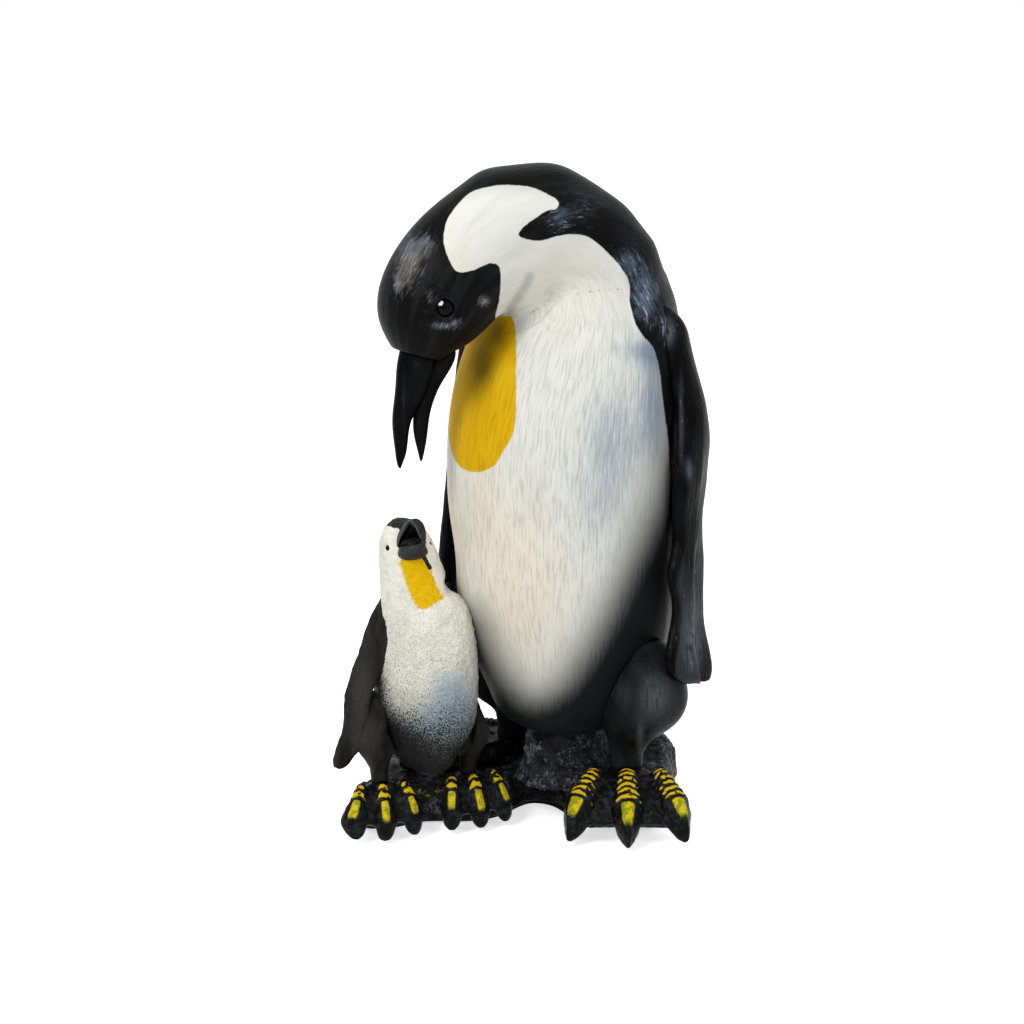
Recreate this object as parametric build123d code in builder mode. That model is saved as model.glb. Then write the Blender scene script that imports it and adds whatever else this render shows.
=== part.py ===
"""Painted cast-resin ornament: a tall penguin bows its head to a chick on a rock base.

Millimetres, +Z up. The origin is on the underside of the felt, at the middle of the base. The viewer of the
front stands at -Y. Each bird has its own frame: x to the bird's left, y to its back, z up from the ground.
"""

from build123d import *
import math
import os

os.makedirs("parts", exist_ok=True)

# Felt, rock and ground
felt_thickness = 1.5
felt_inset = 5.0
rock_height = 17.0
base_length = 150.0
base_depth = 96.0
rock_top_inset = 6.0
claw_clearance = 1.0

# Adult: where it stands, and its hollow torso
adult_side_share = 0.1733
adult_back_share = -0.1667
adult_x = base_length * adult_side_share
adult_y = base_depth * adult_back_share
adult_facing = 38.0
torso_gap = 21.5
torso_height = 218.5
torso_half_width = 52.0
torso_half_depth = 56.0
torso_wall = 5.0
torso_top_wall = 38.0
plug_radius = 11.0
plug_depth = 12.0

# Adult: neck and head, one casting that arches forward over the chest
neck_heading = 60.0
neck_start_side = 7.0
neck_start_back = 9.0
neck_rise = 66.0
neck_reach = 90.0
neck_radius = 26.5
head_turn = 15.0
skull_radius = 24.5

# Adult: beak and eyes
beak_length = 49.5
upper_beak_half_depth = 9.0
upper_beak_half_width = 6.8
lower_beak_length = 47.0
lower_beak_half_depth = 6.0
lower_beak_half_width = 5.6
eye_radius = 3.9
eye_rise = 3.0
eye_bulge = 1.2

# Adult: flippers, thighs, feet and tail
flipper_length = 167.5
flipper_half_width = 16.0
flipper_half_thickness = 7.0
left_flipper_toe_in = 10.0
right_flipper_toe_in = 16.0
thigh_height = 66.0
thigh_half_width = 18.5
thigh_half_depth = 18.5
adult_stance = 33.0
adult_left_foot_turn = 37.0
adult_right_foot_turn = 57.0
adult_toe_length = 29.0
adult_toe_half_width = 5.6
adult_toe_root_side = 14.5
adult_toe_root_ahead = 9.0
adult_toe_spread = 28.0
tail_length = 62.0
tail_slope = 46.5
tail_half_width = 16.0
tail_half_thickness = 7.0

# Mound of rock between the adult's feet, which reaches up to its belly
mound_height = 30.0
mound_half_width = 21.0
mound_half_depth = 24.0

# Chick: it stands before the adult's right side and leans on its belly
chick_bearing = 20.5
chick_stand_off = 2.0
chick_facing = -18.0
chick_gap = 8.5
chick_height = 119.0
chick_half_width = 21.5
chick_half_depth = 23.0
chick_eye_radius = 1.3
chick_eye_bulge = 0.5
chick_eye_turn = 30.0
chick_beak_length = 9.5
chick_beak_half_width = 6.2
chick_beak_half_depth = 3.2
chick_flipper_length = 82.0
chick_flipper_half_width = 8.4
chick_flipper_half_thickness = 3.2
chick_flipper_turn = 30.0
chick_thigh_height = 38.0
chick_thigh_half_width = 10.6
chick_thigh_half_depth = 10.4
chick_stance = 20.5
chick_foot_turn = 6.0
chick_toe_length = 13.0
chick_toe_half_width = 3.7
chick_toe_root_side = 9.0
chick_toe_root_ahead = 3.5
chick_toe_spread = 24.0
chick_tail_length = 25.0
chick_tail_slope = 62.0
chick_tail_half_width = 7.0
chick_tail_half_thickness = 3.0

# Pins that hold the castings together, and the gap that the glue fills
leg_pin_radius = 2.0
leg_pin_length = 34.0
chick_pin_radius = 1.2
chick_pin_length = 22.0
neck_pin_radius = 4.0
neck_pin_length = 44.0
flipper_pin_radius = 1.5
flipper_pin_length = 17.0
glue_gap = 0.1
overrun = 1.0

# Points round one oval ring, shared by every cast form
ring_points = 10


def heading(angle):
    """The level way that something faces: 0 is towards the viewer, positive is to the viewer's left."""
    turn = math.radians(angle)
    return Vector(-math.sin(turn), -math.cos(turn), 0)


def standing_frame(x, y, angle):
    """A frame on the ground: x to the left of what faces that way, y behind it, z up."""
    return Plane(origin=(x, y, 0), x_dir=heading(angle - 90), z_dir=(0, 0, 1))


def oval(plane, half_across, half_front, half_back):
    """One oval face, deeper or shallower in front (-y) than behind (+y)."""
    points = []
    for step in range(ring_points):
        turn = 2 * math.pi * step / ring_points
        depth = half_back if math.sin(turn) > 0 else half_front
        points.append((half_across * math.cos(turn), depth * math.sin(turn)))
    with BuildSketch(plane) as ring:
        with BuildLine():
            Spline(*points, periodic=True)
        make_face()
    return ring.sketch.faces()[0]


def level_rings(frame, rows, turn=0):
    """Ovals level with the ground. A row is (side, back, height, half across, half front, half back)."""
    faces = []
    across = frame.x_dir.rotate(Axis.Z, turn)
    for side, back, height, half_across, half_front, half_back in rows:
        centre = frame.from_local_coords(Vector(side, back, height))
        faces.append(oval(Plane(centre, x_dir=across, z_dir=frame.z_dir), half_across, half_front, half_back))
    return faces


def path_rings(centres, across, sizes):
    """Ovals square to a path. A size is (half across, half below, half above)."""
    faces = []
    last = len(centres) - 1
    for step, (centre, (half_across, below, above)) in enumerate(zip(centres, sizes)):
        along = centres[min(step + 1, last)] - centres[max(step - 1, 0)]
        faces.append(oval(Plane(centre, x_dir=across, z_dir=along), half_across, below, above))
    return faces


# Heights that the pieces share
rock_bottom = felt_thickness
rock_top = rock_bottom + rock_height
torso_bottom = rock_top + torso_gap
torso_top = torso_bottom + torso_height
chick_bottom = rock_top + chick_gap

adult = standing_frame(adult_x, adult_y, adult_facing)

# The chick stands off from the adult's belly, and its shoulder leans on it
chick_reach = torso_half_width * 0.9 + chick_half_width + chick_stand_off
chick_x = adult_x - chick_reach * math.cos(math.radians(chick_bearing))
chick_y = adult_y - chick_reach * math.sin(math.radians(chick_bearing))
chick = standing_frame(chick_x, chick_y, chick_facing)

# Torso

# Shares of the torso's height, half width, half depth in front and behind, and of its half depth moved back
torso_ring_shares = [
    (0.000, 0.16, 0.15, 0.20, -0.02),
    (0.018, 0.43, 0.41, 0.55, -0.02),
    (0.060, 0.63, 0.62, 0.80, -0.03),
    (0.130, 0.77, 0.76, 0.94, -0.04),
    (0.245, 0.89, 0.89, 1.00, -0.04),
    (0.380, 0.97, 0.98, 1.01, -0.04),
    (0.540, 1.00, 1.01, 1.00, -0.04),
    (0.680, 0.98, 0.99, 0.97, -0.04),
    (0.780, 0.92, 0.91, 0.93, -0.01),
    (0.870, 0.84, 0.76, 0.90, 0.05),
    (0.940, 0.72, 0.56, 0.76, 0.09),
    (0.985, 0.44, 0.32, 0.44, 0.11),
    (1.000, 0.16, 0.12, 0.16, 0.11),
]


def torso_rows(wall, top_wall):
    """The torso's rings, drawn in by a wall at the sides and below, and by a thicker one at the shoulders."""
    rows = []
    for height, across, front, back, moved in torso_ring_shares:
        rows.append(
            (
                0,
                moved * torso_half_depth,
                torso_bottom + wall + height * (torso_height - wall - top_wall),
                across * (torso_half_width - wall),
                front * (torso_half_depth - wall),
                back * (torso_half_depth - wall),
            )
        )
    return rows


with BuildPart() as torso_form:
    loft(level_rings(adult, torso_rows(0, 0)))

with BuildPart() as torso_hollow:
    loft(level_rings(adult, torso_rows(torso_wall, torso_top_wall)))

# Neck and head

neck_origin = adult.from_local_coords(Vector(neck_start_side, neck_start_back, 0))
neck = standing_frame(neck_origin.X, neck_origin.Y, neck_heading)
head_across = heading(neck_heading + head_turn - 90)
neck_bottom = torso_top - torso_height * 0.232

# Shares of the neck's reach forward and of its rise, then of its radius across, below and above
neck_ring_shares = [
    (0.010, 0.00, 1.10, 1.00, 1.08),
    (-0.010, 0.22, 1.12, 1.10, 1.10),
    (0.000, 0.46, 1.12, 1.20, 1.08),
    (0.100, 0.79, 1.06, 1.34, 1.03),
    (0.340, 1.00, 0.99, 1.46, 0.98),
    (0.610, 0.93, 0.95, 1.36, 0.96),
]
skull_ring_shares = [
    (0.800, 0.74, 0.98, 1.14, 1.04),
    (0.905, 0.53, 0.93, 0.96, 1.02),
    (0.970, 0.35, 0.74, 0.70, 0.80),
    (1.000, 0.225, 0.46, 0.46, 0.43),
]


def neck_point(forward, rise):
    """A point in the upright plane that the neck bends in, from shares of its reach and rise."""
    return neck.from_local_coords(Vector(0, -forward * neck_reach, neck_bottom + rise * neck_rise))


neck_centres = []
neck_sizes = []
for shares, radius in ((neck_ring_shares, neck_radius), (skull_ring_shares, skull_radius)):
    for forward, rise, across, below, above in shares:
        neck_centres.append(neck_point(forward, rise))
        neck_sizes.append((across * radius, below * radius, above * radius))

with BuildPart() as head_form:
    loft(path_rings(neck_centres, head_across, neck_sizes))

# Beak: both halves leave the face's flat end and part half way down

face_end = neck_centres[-1]
face_forward = heading(neck_heading + head_turn)
skull_half_width = skull_ring_shares[1][2] * skull_radius
skull_middle = neck_centres[-3]

# Shares of the beak's length down, of its root depth forward, and of its root sizes
upper_beak_shares = [
    (-0.08, -0.16, 0.96, 0.98),
    (0.03, -0.10, 0.94, 0.96),
    (0.22, 0.11, 0.88, 0.91),
    (0.39, 0.42, 0.76, 0.68),
    (0.55, 0.70, 0.62, 0.48),
    (0.75, 0.79, 0.47, 0.35),
    (0.88, 0.81, 0.34, 0.25),
    (1.00, 0.85, 0.07, 0.07),
]
lower_beak_shares = [
    (-0.08, -1.15, 0.96, 1.00),
    (0.09, -1.04, 0.92, 1.04),
    (0.26, -0.62, 0.84, 0.87),
    (0.42, -0.40, 0.72, 0.66),
    (0.58, -0.23, 0.62, 0.60),
    (0.79, -0.18, 0.44, 0.43),
    (0.93, -0.20, 0.24, 0.20),
    (1.00, -0.20, 0.09, 0.09),
]


def beak_rings(shares, length, half_width, half_depth):
    """Rings down one half of the beak, from the flat end of the face."""
    centres = [
        face_end + face_forward * (forward * upper_beak_half_depth) - Vector(0, 0, down * length)
        for down, forward, _, _ in shares
    ]
    sizes = [(across * half_width, deep * half_depth, deep * half_depth) for _, _, across, deep in shares]
    return path_rings(centres, head_across, sizes)


with BuildPart() as upper_beak_form:
    loft(beak_rings(upper_beak_shares, beak_length, upper_beak_half_width, upper_beak_half_depth))

with BuildPart() as lower_beak_form:
    loft(beak_rings(lower_beak_shares, lower_beak_length, lower_beak_half_width, lower_beak_half_depth))

# Flippers

# Shares of the flipper's length down, of the torso's half width outwards, of the flipper's half width back,
# and of its half thickness and half width. The left one hangs close to the body, and the right one stands out
left_flipper_shares = [
    (0.000, 0.72, 0.80, 0.34, 0.22),
    (0.045, 0.80, 0.94, 0.56, 0.42),
    (0.140, 0.88, 1.10, 0.72, 0.62),
    (0.340, 1.07, 0.96, 0.80, 0.77),
    (0.480, 1.09, 0.75, 0.74, 0.84),
    (0.630, 1.09, 0.64, 0.64, 0.77),
    (0.765, 1.08, 0.72, 0.52, 0.88),
    (0.890, 1.09, 0.70, 0.44, 1.14),
    (0.950, 1.11, 0.69, 0.36, 1.26),
    (0.980, 1.11, 0.84, 0.30, 1.04),
    (1.000, 1.11, 1.08, 0.18, 0.62),
]
right_flipper_shares = [
    (0.000, 0.80, 0.14, 0.36, 0.34),
    (0.045, 0.90, 0.18, 0.80, 0.74),
    (0.140, 0.98, 0.42, 1.00, 1.00),
    (0.290, 1.07, 0.56, 0.98, 1.04),
    (0.460, 1.14, 0.46, 0.88, 0.98),
    (0.630, 1.20, 0.30, 0.76, 0.90),
    (0.790, 1.24, 0.18, 0.62, 0.90),
    (0.910, 1.255, 0.12, 0.52, 0.94),
    (0.975, 1.26, 0.08, 0.42, 0.78),
    (1.000, 1.26, 0.08, 0.20, 0.40),
]
flipper_ring_shares = {1: left_flipper_shares, -1: right_flipper_shares}
flipper_turns = {1: left_flipper_toe_in, -1: -right_flipper_toe_in}
flipper_top = torso_top - torso_height * 0.084


def flipper_rows(side):
    """Rings down a flipper on the left (side 1) or the right (side -1)."""
    rows = []
    for down, outward, back, thick, wide in flipper_ring_shares[side]:
        rows.append(
            (
                side * outward * torso_half_width,
                back * flipper_half_width,
                flipper_top - down * flipper_length,
                thick * flipper_half_thickness,
                wide * flipper_half_width,
                wide * flipper_half_width,
            )
        )
    return rows


# Thighs, from inside the belly's side down to the ankle
# Shares of the thigh's height down, then of its half width outwards from the ankle, and of its own sizes

thigh_ring_shares = [
    (0.00, 0.46, 0.36, 0.40),
    (0.10, 0.50, 0.74, 0.76),
    (0.26, 0.52, 1.00, 1.00),
    (0.40, 0.50, 1.08, 1.06),
    (0.51, 0.44, 1.03, 1.02),
    (0.63, 0.28, 0.82, 0.84),
    (0.72, 0.12, 0.58, 0.62),
    (0.81, 0.02, 0.44, 0.47),
    (0.90, 0.00, 0.40, 0.42),
    (1.00, 0.00, 0.40, 0.40),
]
thigh_top = rock_top + adult_toe_half_width + thigh_height


def thigh_rows(side):
    """Rings down a thigh. The last one stands on the foot."""
    return [
        (
            side * (adult_stance + outward * thigh_half_width),
            0,
            thigh_top - down * thigh_height,
            across * thigh_half_width,
            deep * thigh_half_depth,
            deep * thigh_half_depth,
        )
        for down, outward, across, deep in thigh_ring_shares
    ]


# Toes: shares of the toe's length forward, of its drop, and of its half width

toe_ring_shares = [
    (-0.12, 1.00, 0.80),
    (0.14, 0.98, 1.00),
    (0.38, 0.82, 0.96),
    (0.60, 0.60, 1.06),
    (0.80, 0.34, 1.00),
    (0.93, 0.13, 0.66),
    (1.00, 0.02, 0.22),
]
side_toe_share = 0.86

# Web: shares of the toe's length ahead of the ankle, of the drop, of the root's half spread, and of the
# toe's half width for its thickness
web_ring_shares = [
    (-0.20, 0.92, 0.46, 0.80),
    (0.12, 0.96, 0.88, 0.98),
    (0.42, 0.88, 1.32, 0.86),
    (0.78, 0.56, 1.66, 0.66),
    (1.00, 0.34, 1.80, 0.40),
]


def foot_form(toe_length, toe_half_width, root_side, root_ahead, spread, tip_height):
    """Three toes and the web between them. The ankle stands over the origin, the toes point along -y."""
    drop = rock_top + toe_half_width - tip_height
    with BuildPart() as foot:
        for side in (-1, 0, 1):
            length = toe_length if side == 0 else toe_length * side_toe_share
            turn = math.radians(side * spread)
            ahead = Vector(math.sin(turn), -math.cos(turn), 0)
            root = Vector(side * root_side, -root_ahead, tip_height)
            centres = []
            sizes = []
            for along, high, wide in toe_ring_shares:
                centres.append(root + ahead * (along * length) + Vector(0, 0, high * drop))
                sizes.append((wide * toe_half_width,) * 3)
            loft(path_rings(centres, Vector(0, 0, 1).cross(ahead), sizes))
        centres = []
        sizes = []
        for along, high, wide, thick in web_ring_shares:
            centres.append(Vector(0, -along * toe_length, tip_height + high * drop))
            sizes.append((wide * root_side, thick * toe_half_width, thick * toe_half_width))
        loft(path_rings(centres, Vector(1, 0, 0), sizes))
    return foot.part


def ankle_frame(bird, stance, facing, turn, side):
    """The frame of a foot under an ankle, turned outwards."""
    spot = bird.from_local_coords(Vector(side * stance, 0, 0))
    return standing_frame(spot.X, spot.Y, facing - side * turn)


def upright_pin(spot, radius, low, length):
    """A round pin that stands on a level."""
    with BuildPart() as pin:
        with BuildSketch(Plane.XY.offset(low)):
            with Locations((spot.X, spot.Y)):
                Circle(radius)
        extrude(amount=length)
    return pin.part


adult_feet = {
    1: ankle_frame(adult, adult_stance, adult_facing, adult_left_foot_turn, 1),
    -1: ankle_frame(adult, adult_stance, adult_facing, adult_right_foot_turn, -1),
}
chick_feet = {side: ankle_frame(chick, chick_stance, chick_facing, chick_foot_turn, side) for side in (1, -1)}
adult_pin_low = rock_top - leg_pin_length * 0.4
chick_pin_low = rock_top - chick_pin_length * 0.45

# The adult's left foot and both of the chick's hang their claws over the rock's edge. The adult's right foot
# lies flat on the rock
hanging_tip = claw_clearance + adult_toe_half_width * 0.4
flat_tip = rock_top + adult_toe_half_width * 0.2
chick_tip = claw_clearance + chick_toe_half_width * 0.4


def placed(form, frame):
    """A form made over the origin, put where its frame stands."""
    with BuildPart() as copy:
        with Locations(frame.location):
            add(form)
    return copy.part


adult_foot_forms = {}
for side, tip_height in ((1, hanging_tip), (-1, flat_tip)):
    form = foot_form(
        adult_toe_length,
        adult_toe_half_width,
        adult_toe_root_side,
        adult_toe_root_ahead,
        adult_toe_spread,
        tip_height,
    )
    adult_foot_forms[side] = placed(form, adult_feet[side])

chick_foot_form = foot_form(
    chick_toe_length,
    chick_toe_half_width,
    chick_toe_root_side,
    chick_toe_root_ahead,
    chick_toe_spread,
    chick_tip,
)
chick_foot_forms = {side: placed(chick_foot_form, frame) for side, frame in chick_feet.items()}

# Tail: from the torso's back down to the rock

tail_ring_shares = [
    (0.00, 1.00, 1.00),
    (0.30, 1.02, 0.92),
    (0.60, 0.92, 0.74),
    (0.85, 0.72, 0.52),
    (1.00, 0.42, 0.26),
]


def tail_form(frame, root_back, end_height, length, slope, half_width, half_thickness):
    """A stiff tail that slopes down behind a bird, to an end at a level."""
    drop = length * math.sin(math.radians(slope))
    run = length * math.cos(math.radians(slope))
    centres = []
    sizes = []
    for along, wide, thick in tail_ring_shares:
        local = Vector(0, root_back + along * run, end_height + (1 - along) * drop)
        centres.append(frame.from_local_coords(local))
        sizes.append((wide * half_width, thick * half_thickness, thick * half_thickness))
    with BuildPart() as tail:
        loft(path_rings(centres, frame.x_dir, sizes))
    return tail.part


adult_tail_form = tail_form(
    adult,
    torso_half_depth * 0.42,
    rock_top + tail_half_thickness * 0.1,
    tail_length,
    tail_slope,
    tail_half_width,
    tail_half_thickness,
)

# Chick: body, neck and head in one casting
# Shares of its height, then of its half width to the side, its half width and its half depth

chick_ring_shares = [
    (0.000, 0.14, 0.18, 0.18),
    (0.025, 0.14, 0.44, 0.46),
    (0.110, 0.15, 0.76, 0.78),
    (0.240, 0.16, 0.96, 0.96),
    (0.380, 0.16, 1.00, 1.00),
    (0.500, 0.15, 1.00, 0.99),
    (0.600, 0.13, 0.97, 0.96),
    (0.680, 0.04, 0.90, 0.88),
    (0.730, -0.07, 0.80, 0.79),
    (0.790, -0.20, 0.69, 0.68),
    (0.860, -0.29, 0.61, 0.60),
    (0.920, -0.35, 0.53, 0.52),
    (0.970, -0.38, 0.38, 0.38),
    (1.000, -0.38, 0.12, 0.12),
]


def chick_rows():
    """Rings up the chick's body, from its seat to its crown."""
    return [
        (
            side * chick_half_width,
            0,
            chick_bottom + height * chick_height,
            across * chick_half_width,
            deep * chick_half_depth,
            deep * chick_half_depth,
        )
        for height, side, across, deep in chick_ring_shares
    ]


with BuildPart() as chick_form:
    loft(level_rings(chick, chick_rows()))

chick_crown = chick_bottom + chick_height
chick_head_side = chick_ring_shares[-3][1] * chick_half_width
chick_head_half_width = chick_ring_shares[-3][2] * chick_half_width
chick_head_half_depth = chick_ring_shares[-3][3] * chick_half_depth
chick_face_height = chick_crown - chick_height * 0.06

# Chick's beak, wide open: shares of its length forward and up, and of its root sizes

chick_upper_shares = [
    (-0.60, -0.42, 0.94, 1.30),
    (-0.10, -0.06, 1.06, 1.40),
    (0.24, 0.44, 0.96, 1.12),
    (0.52, 0.90, 0.66, 0.68),
    (0.74, 1.16, 0.20, 0.22),
]
chick_lower_shares = [
    (-0.60, -0.80, 0.90, 1.02),
    (0.00, -0.66, 1.04, 1.06),
    (0.50, -0.46, 1.00, 0.92),
    (0.86, -0.28, 0.66, 0.56),
    (1.02, -0.20, 0.20, 0.20),
]


def chick_beak_form(shares):
    """One half of the chick's open beak."""
    centres = []
    sizes = []
    for forward, up, wide, deep in shares:
        local = Vector(
            chick_head_side,
            -chick_head_half_depth * 0.78 - forward * chick_beak_length,
            chick_face_height + up * chick_beak_length,
        )
        centres.append(chick.from_local_coords(local))
        half_depth = deep * chick_beak_half_depth
        sizes.append((wide * chick_beak_half_width, half_depth, half_depth))
    with BuildPart() as beak:
        loft(path_rings(centres, chick.x_dir, sizes))
    return beak.part


# Chick's flippers: shares of length down, of the chick's half width outwards, and of their own sizes

chick_flipper_shares = [
    (0.00, 0.68, 0.02, 0.40, 0.36),
    (0.10, 0.76, 0.04, 0.86, 0.82),
    (0.18, 0.86, 0.06, 0.96, 1.00),
    (0.29, 0.98, 0.08, 1.00, 1.06),
    (0.41, 1.15, 0.12, 0.98, 0.94),
    (0.52, 1.32, 0.14, 0.90, 0.62),
    (0.62, 1.45, 0.15, 0.82, 0.44),
    (0.75, 1.53, 0.16, 0.74, 0.52),
    (0.88, 1.68, 0.16, 0.64, 0.58),
    (0.96, 1.78, 0.17, 0.50, 0.50),
    (1.00, 1.86, 0.17, 0.24, 0.20),
]
tucked_flipper_shares = [
    (0.00, 0.62, 0.30, 0.40, 0.34),
    (0.10, 0.86, 0.44, 0.80, 0.78),
    (0.30, 0.98, 0.56, 0.86, 0.94),
    (0.50, 1.04, 0.66, 0.80, 0.90),
    (0.66, 1.06, 0.70, 0.66, 0.70),
    (0.76, 1.06, 0.70, 0.36, 0.34),
]
chick_shoulder = chick_bottom + chick_height * 0.715


def chick_flipper_form(shares, side, turn):
    """A chick's flipper on its left (1) or right (-1), its hind edge turned out."""
    rows = [
        (
            side * outward * chick_half_width,
            back * chick_half_depth,
            chick_shoulder - down * chick_flipper_length,
            thick * chick_flipper_half_thickness,
            wide * chick_flipper_half_width,
            wide * chick_flipper_half_width,
        )
        for down, outward, back, thick, wide in shares
    ]
    with BuildPart() as flipper:
        loft(level_rings(chick, rows, turn))
    return flipper.part


# Chick's thighs

chick_thigh_shares = [
    (0.00, 0.78, 0.36, 0.40),
    (0.14, 0.82, 0.78, 0.82),
    (0.34, 0.88, 0.98, 1.00),
    (0.48, 0.93, 0.98, 1.00),
    (0.64, 0.98, 0.70, 0.72),
    (0.80, 1.00, 0.42, 0.44),
    (1.00, 1.00, 0.37, 0.39),
]
chick_thigh_top = rock_top + chick_toe_half_width + chick_thigh_height


def chick_thigh_form(side):
    """A chick's thigh, down to its ankle."""
    rows = [
        (
            side * outward * chick_stance,
            0,
            chick_thigh_top - down * chick_thigh_height,
            across * chick_thigh_half_width,
            deep * chick_thigh_half_depth,
            deep * chick_thigh_half_depth,
        )
        for down, outward, across, deep in chick_thigh_shares
    ]
    with BuildPart() as thigh:
        loft(level_rings(chick, rows))
    return thigh.part


chick_tail_form = tail_form(
    chick,
    chick_half_depth * 0.6,
    rock_top + chick_tail_half_thickness * 0.1,
    chick_tail_length,
    chick_tail_slope,
    chick_tail_half_width,
    chick_tail_half_thickness,
)

# Rock outline: shares of the base's length and depth, from its middle

rock_outline_shares = [
    (-0.427, -0.094),
    (-0.453, -0.302),
    (-0.487, -0.448),
    (-0.430, -0.500),
    (-0.370, -0.480),
    (-0.300, -0.415),
    (-0.180, -0.405),
    (-0.100, -0.385),
    (-0.035, -0.320),
    (0.013, -0.219),
    (0.067, -0.146),
    (0.127, -0.177),
    (0.180, -0.302),
    (0.253, -0.427),
    (0.347, -0.490),
    (0.440, -0.458),
    (0.487, -0.344),
    (0.507, -0.198),
    (0.507, 0.052),
    (0.533, 0.281),
    (0.493, 0.448),
    (0.387, 0.520),
    (0.240, 0.490),
    (0.067, 0.406),
    (-0.093, 0.365),
    (-0.253, 0.323),
    (-0.367, 0.198),
    (-0.413, 0.052),
]


def rock_outline(plane, inset):
    """The rock's outline on a level, drawn in by an inset."""
    long_side = base_length - 2 * inset
    short_side = base_depth - 2 * inset
    with BuildSketch(plane) as outline:
        with BuildLine():
            Spline(*[(x * long_side, y * short_side) for x, y in rock_outline_shares], periodic=True)
        make_face()
    return outline.sketch.faces()[0]


with BuildPart() as rock_form:
    loft(
        [
            rock_outline(Plane.XY.offset(rock_bottom), 0),
            rock_outline(Plane.XY.offset(rock_bottom + rock_height * 0.55), rock_top_inset * 0.15),
            rock_outline(Plane.XY.offset(rock_bottom + rock_height * 0.88), rock_top_inset * 0.55),
            rock_outline(Plane.XY.offset(rock_top), rock_top_inset),
        ]
    )

# Mound: shares of its height, and of its half width and half depth. The torso's underside cuts it off
mound_ring_shares = [
    (0.00, 1.16),
    (0.25, 0.98),
    (0.55, 0.86),
    (1.00, 0.62),
]
mound_rows = [
    (
        0,
        0,
        rock_top - overrun + up * mound_height,
        wide * mound_half_width,
        wide * mound_half_depth,
        wide * mound_half_depth,
    )
    for up, wide in mound_ring_shares
]

# Pins in the ankles, and the holes that they are glued into

leg_pins = {}
pin_holes = {}
for bird, feet, radius, low, length in (
    ("adult", adult_feet, leg_pin_radius, adult_pin_low, leg_pin_length),
    ("chick", chick_feet, chick_pin_radius, chick_pin_low, chick_pin_length),
):
    hole_low = low - glue_gap
    hole_length = length + 2 * glue_gap
    for side, frame in feet.items():
        leg_pins[bird, side] = upright_pin(frame.origin, radius, low, length)
        pin_holes[bird, side] = upright_pin(frame.origin, radius + glue_gap, hole_low, hole_length)


def write(name, part):
    """Label one node and write its file."""
    part.label = name
    export_step(part, f"parts/{name}.step")


def ball(centre, radius):
    """A glass bead."""
    with BuildPart() as bead:
        with Locations(centre):
            Sphere(radius)
    return bead.part


# Eyes: glass beads half sunk in both sides of each head

adult_eyes = {}
chick_eyes = {}
chick_head_middle = Vector(chick_head_side, 0, chick_face_height - chick_eye_radius * 3)
for side in (1, -1):
    aside = head_across * (side * (skull_half_width + eye_bulge - eye_radius))
    adult_eyes[side] = ball(skull_middle + aside + Vector(0, 0, eye_rise), eye_radius)
    turn = math.radians(chick_eye_turn)
    sunk = chick_head_half_width + chick_eye_bulge - chick_eye_radius
    local = chick_head_middle + Vector(side * math.cos(turn), -math.sin(turn), 0) * sunk
    chick_eyes[side] = ball(chick.from_local_coords(local), chick_eye_radius)

# Torso with its pour hole, the plug, and the pins at the neck and the flippers

with BuildPart() as plug_core:
    with BuildSketch(Plane.XY.offset(torso_bottom - overrun)):
        with Locations((adult_x, adult_y)):
            Circle(plug_radius)
    extrude(amount=plug_depth + overrun)

neck_pin_spot = neck.from_local_coords(Vector(0, -neck_reach * 0.04, 0))
neck_pin_low = torso_top - neck_pin_length * 0.55
neck_hole = upright_pin(
    neck_pin_spot,
    neck_pin_radius + glue_gap,
    neck_pin_low - glue_gap,
    neck_pin_length + 2 * glue_gap,
)
write("neck_pin", upright_pin(neck_pin_spot, neck_pin_radius, neck_pin_low, neck_pin_length))


def level_pin(side, radius, spare):
    """A round pin that runs out from the torso into a flipper, longer at both ends by a spare."""
    down, outward, back, _, _ = flipper_ring_shares[side][2]
    local = Vector(
        side * (outward * torso_half_width - flipper_pin_length * 0.9 - spare),
        back * flipper_half_width,
        flipper_top - down * flipper_length,
    )
    with BuildPart() as pin:
        with BuildSketch(Plane(adult.from_local_coords(local), z_dir=adult.x_dir * side)):
            Circle(radius)
        extrude(amount=flipper_pin_length + 2 * spare)
    return pin.part


flipper_holes = {side: level_pin(side, flipper_pin_radius + glue_gap, glue_gap) for side in (1, -1)}
with BuildPart() as flipper_pins:
    for side in (1, -1):
        add(level_pin(side, flipper_pin_radius, 0))
write("flipper_pins", flipper_pins.part)

with BuildPart() as adult_torso:
    add(torso_form.part)
    add(torso_hollow.part, mode=Mode.SUBTRACT)
    add(plug_core.part, mode=Mode.SUBTRACT)
    add(neck_hole, mode=Mode.SUBTRACT)
    for hole in flipper_holes.values():
        add(hole, mode=Mode.SUBTRACT)
write("adult_torso", adult_torso.part)

with BuildPart() as torso_plug:
    add(torso_form.part)
    add(torso_hollow.part, mode=Mode.SUBTRACT)
    add(plug_core.part, mode=Mode.INTERSECT)
write("torso_plug", torso_plug.part)

# Head, beak and eyes

with BuildPart() as adult_head:
    add(head_form.part)
    add(torso_form.part, mode=Mode.SUBTRACT)
    add(neck_hole, mode=Mode.SUBTRACT)
    for eye in adult_eyes.values():
        add(eye, mode=Mode.SUBTRACT)
write("adult_head", adult_head.part)

with BuildPart() as adult_upper_beak:
    add(upper_beak_form.part)
    add(head_form.part, mode=Mode.SUBTRACT)
write("adult_upper_beak", adult_upper_beak.part)

with BuildPart() as adult_lower_beak:
    add(lower_beak_form.part)
    add(head_form.part, mode=Mode.SUBTRACT)
    add(upper_beak_form.part, mode=Mode.SUBTRACT)
write("adult_lower_beak", adult_lower_beak.part)

# Adult's flippers, thighs and feet

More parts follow.
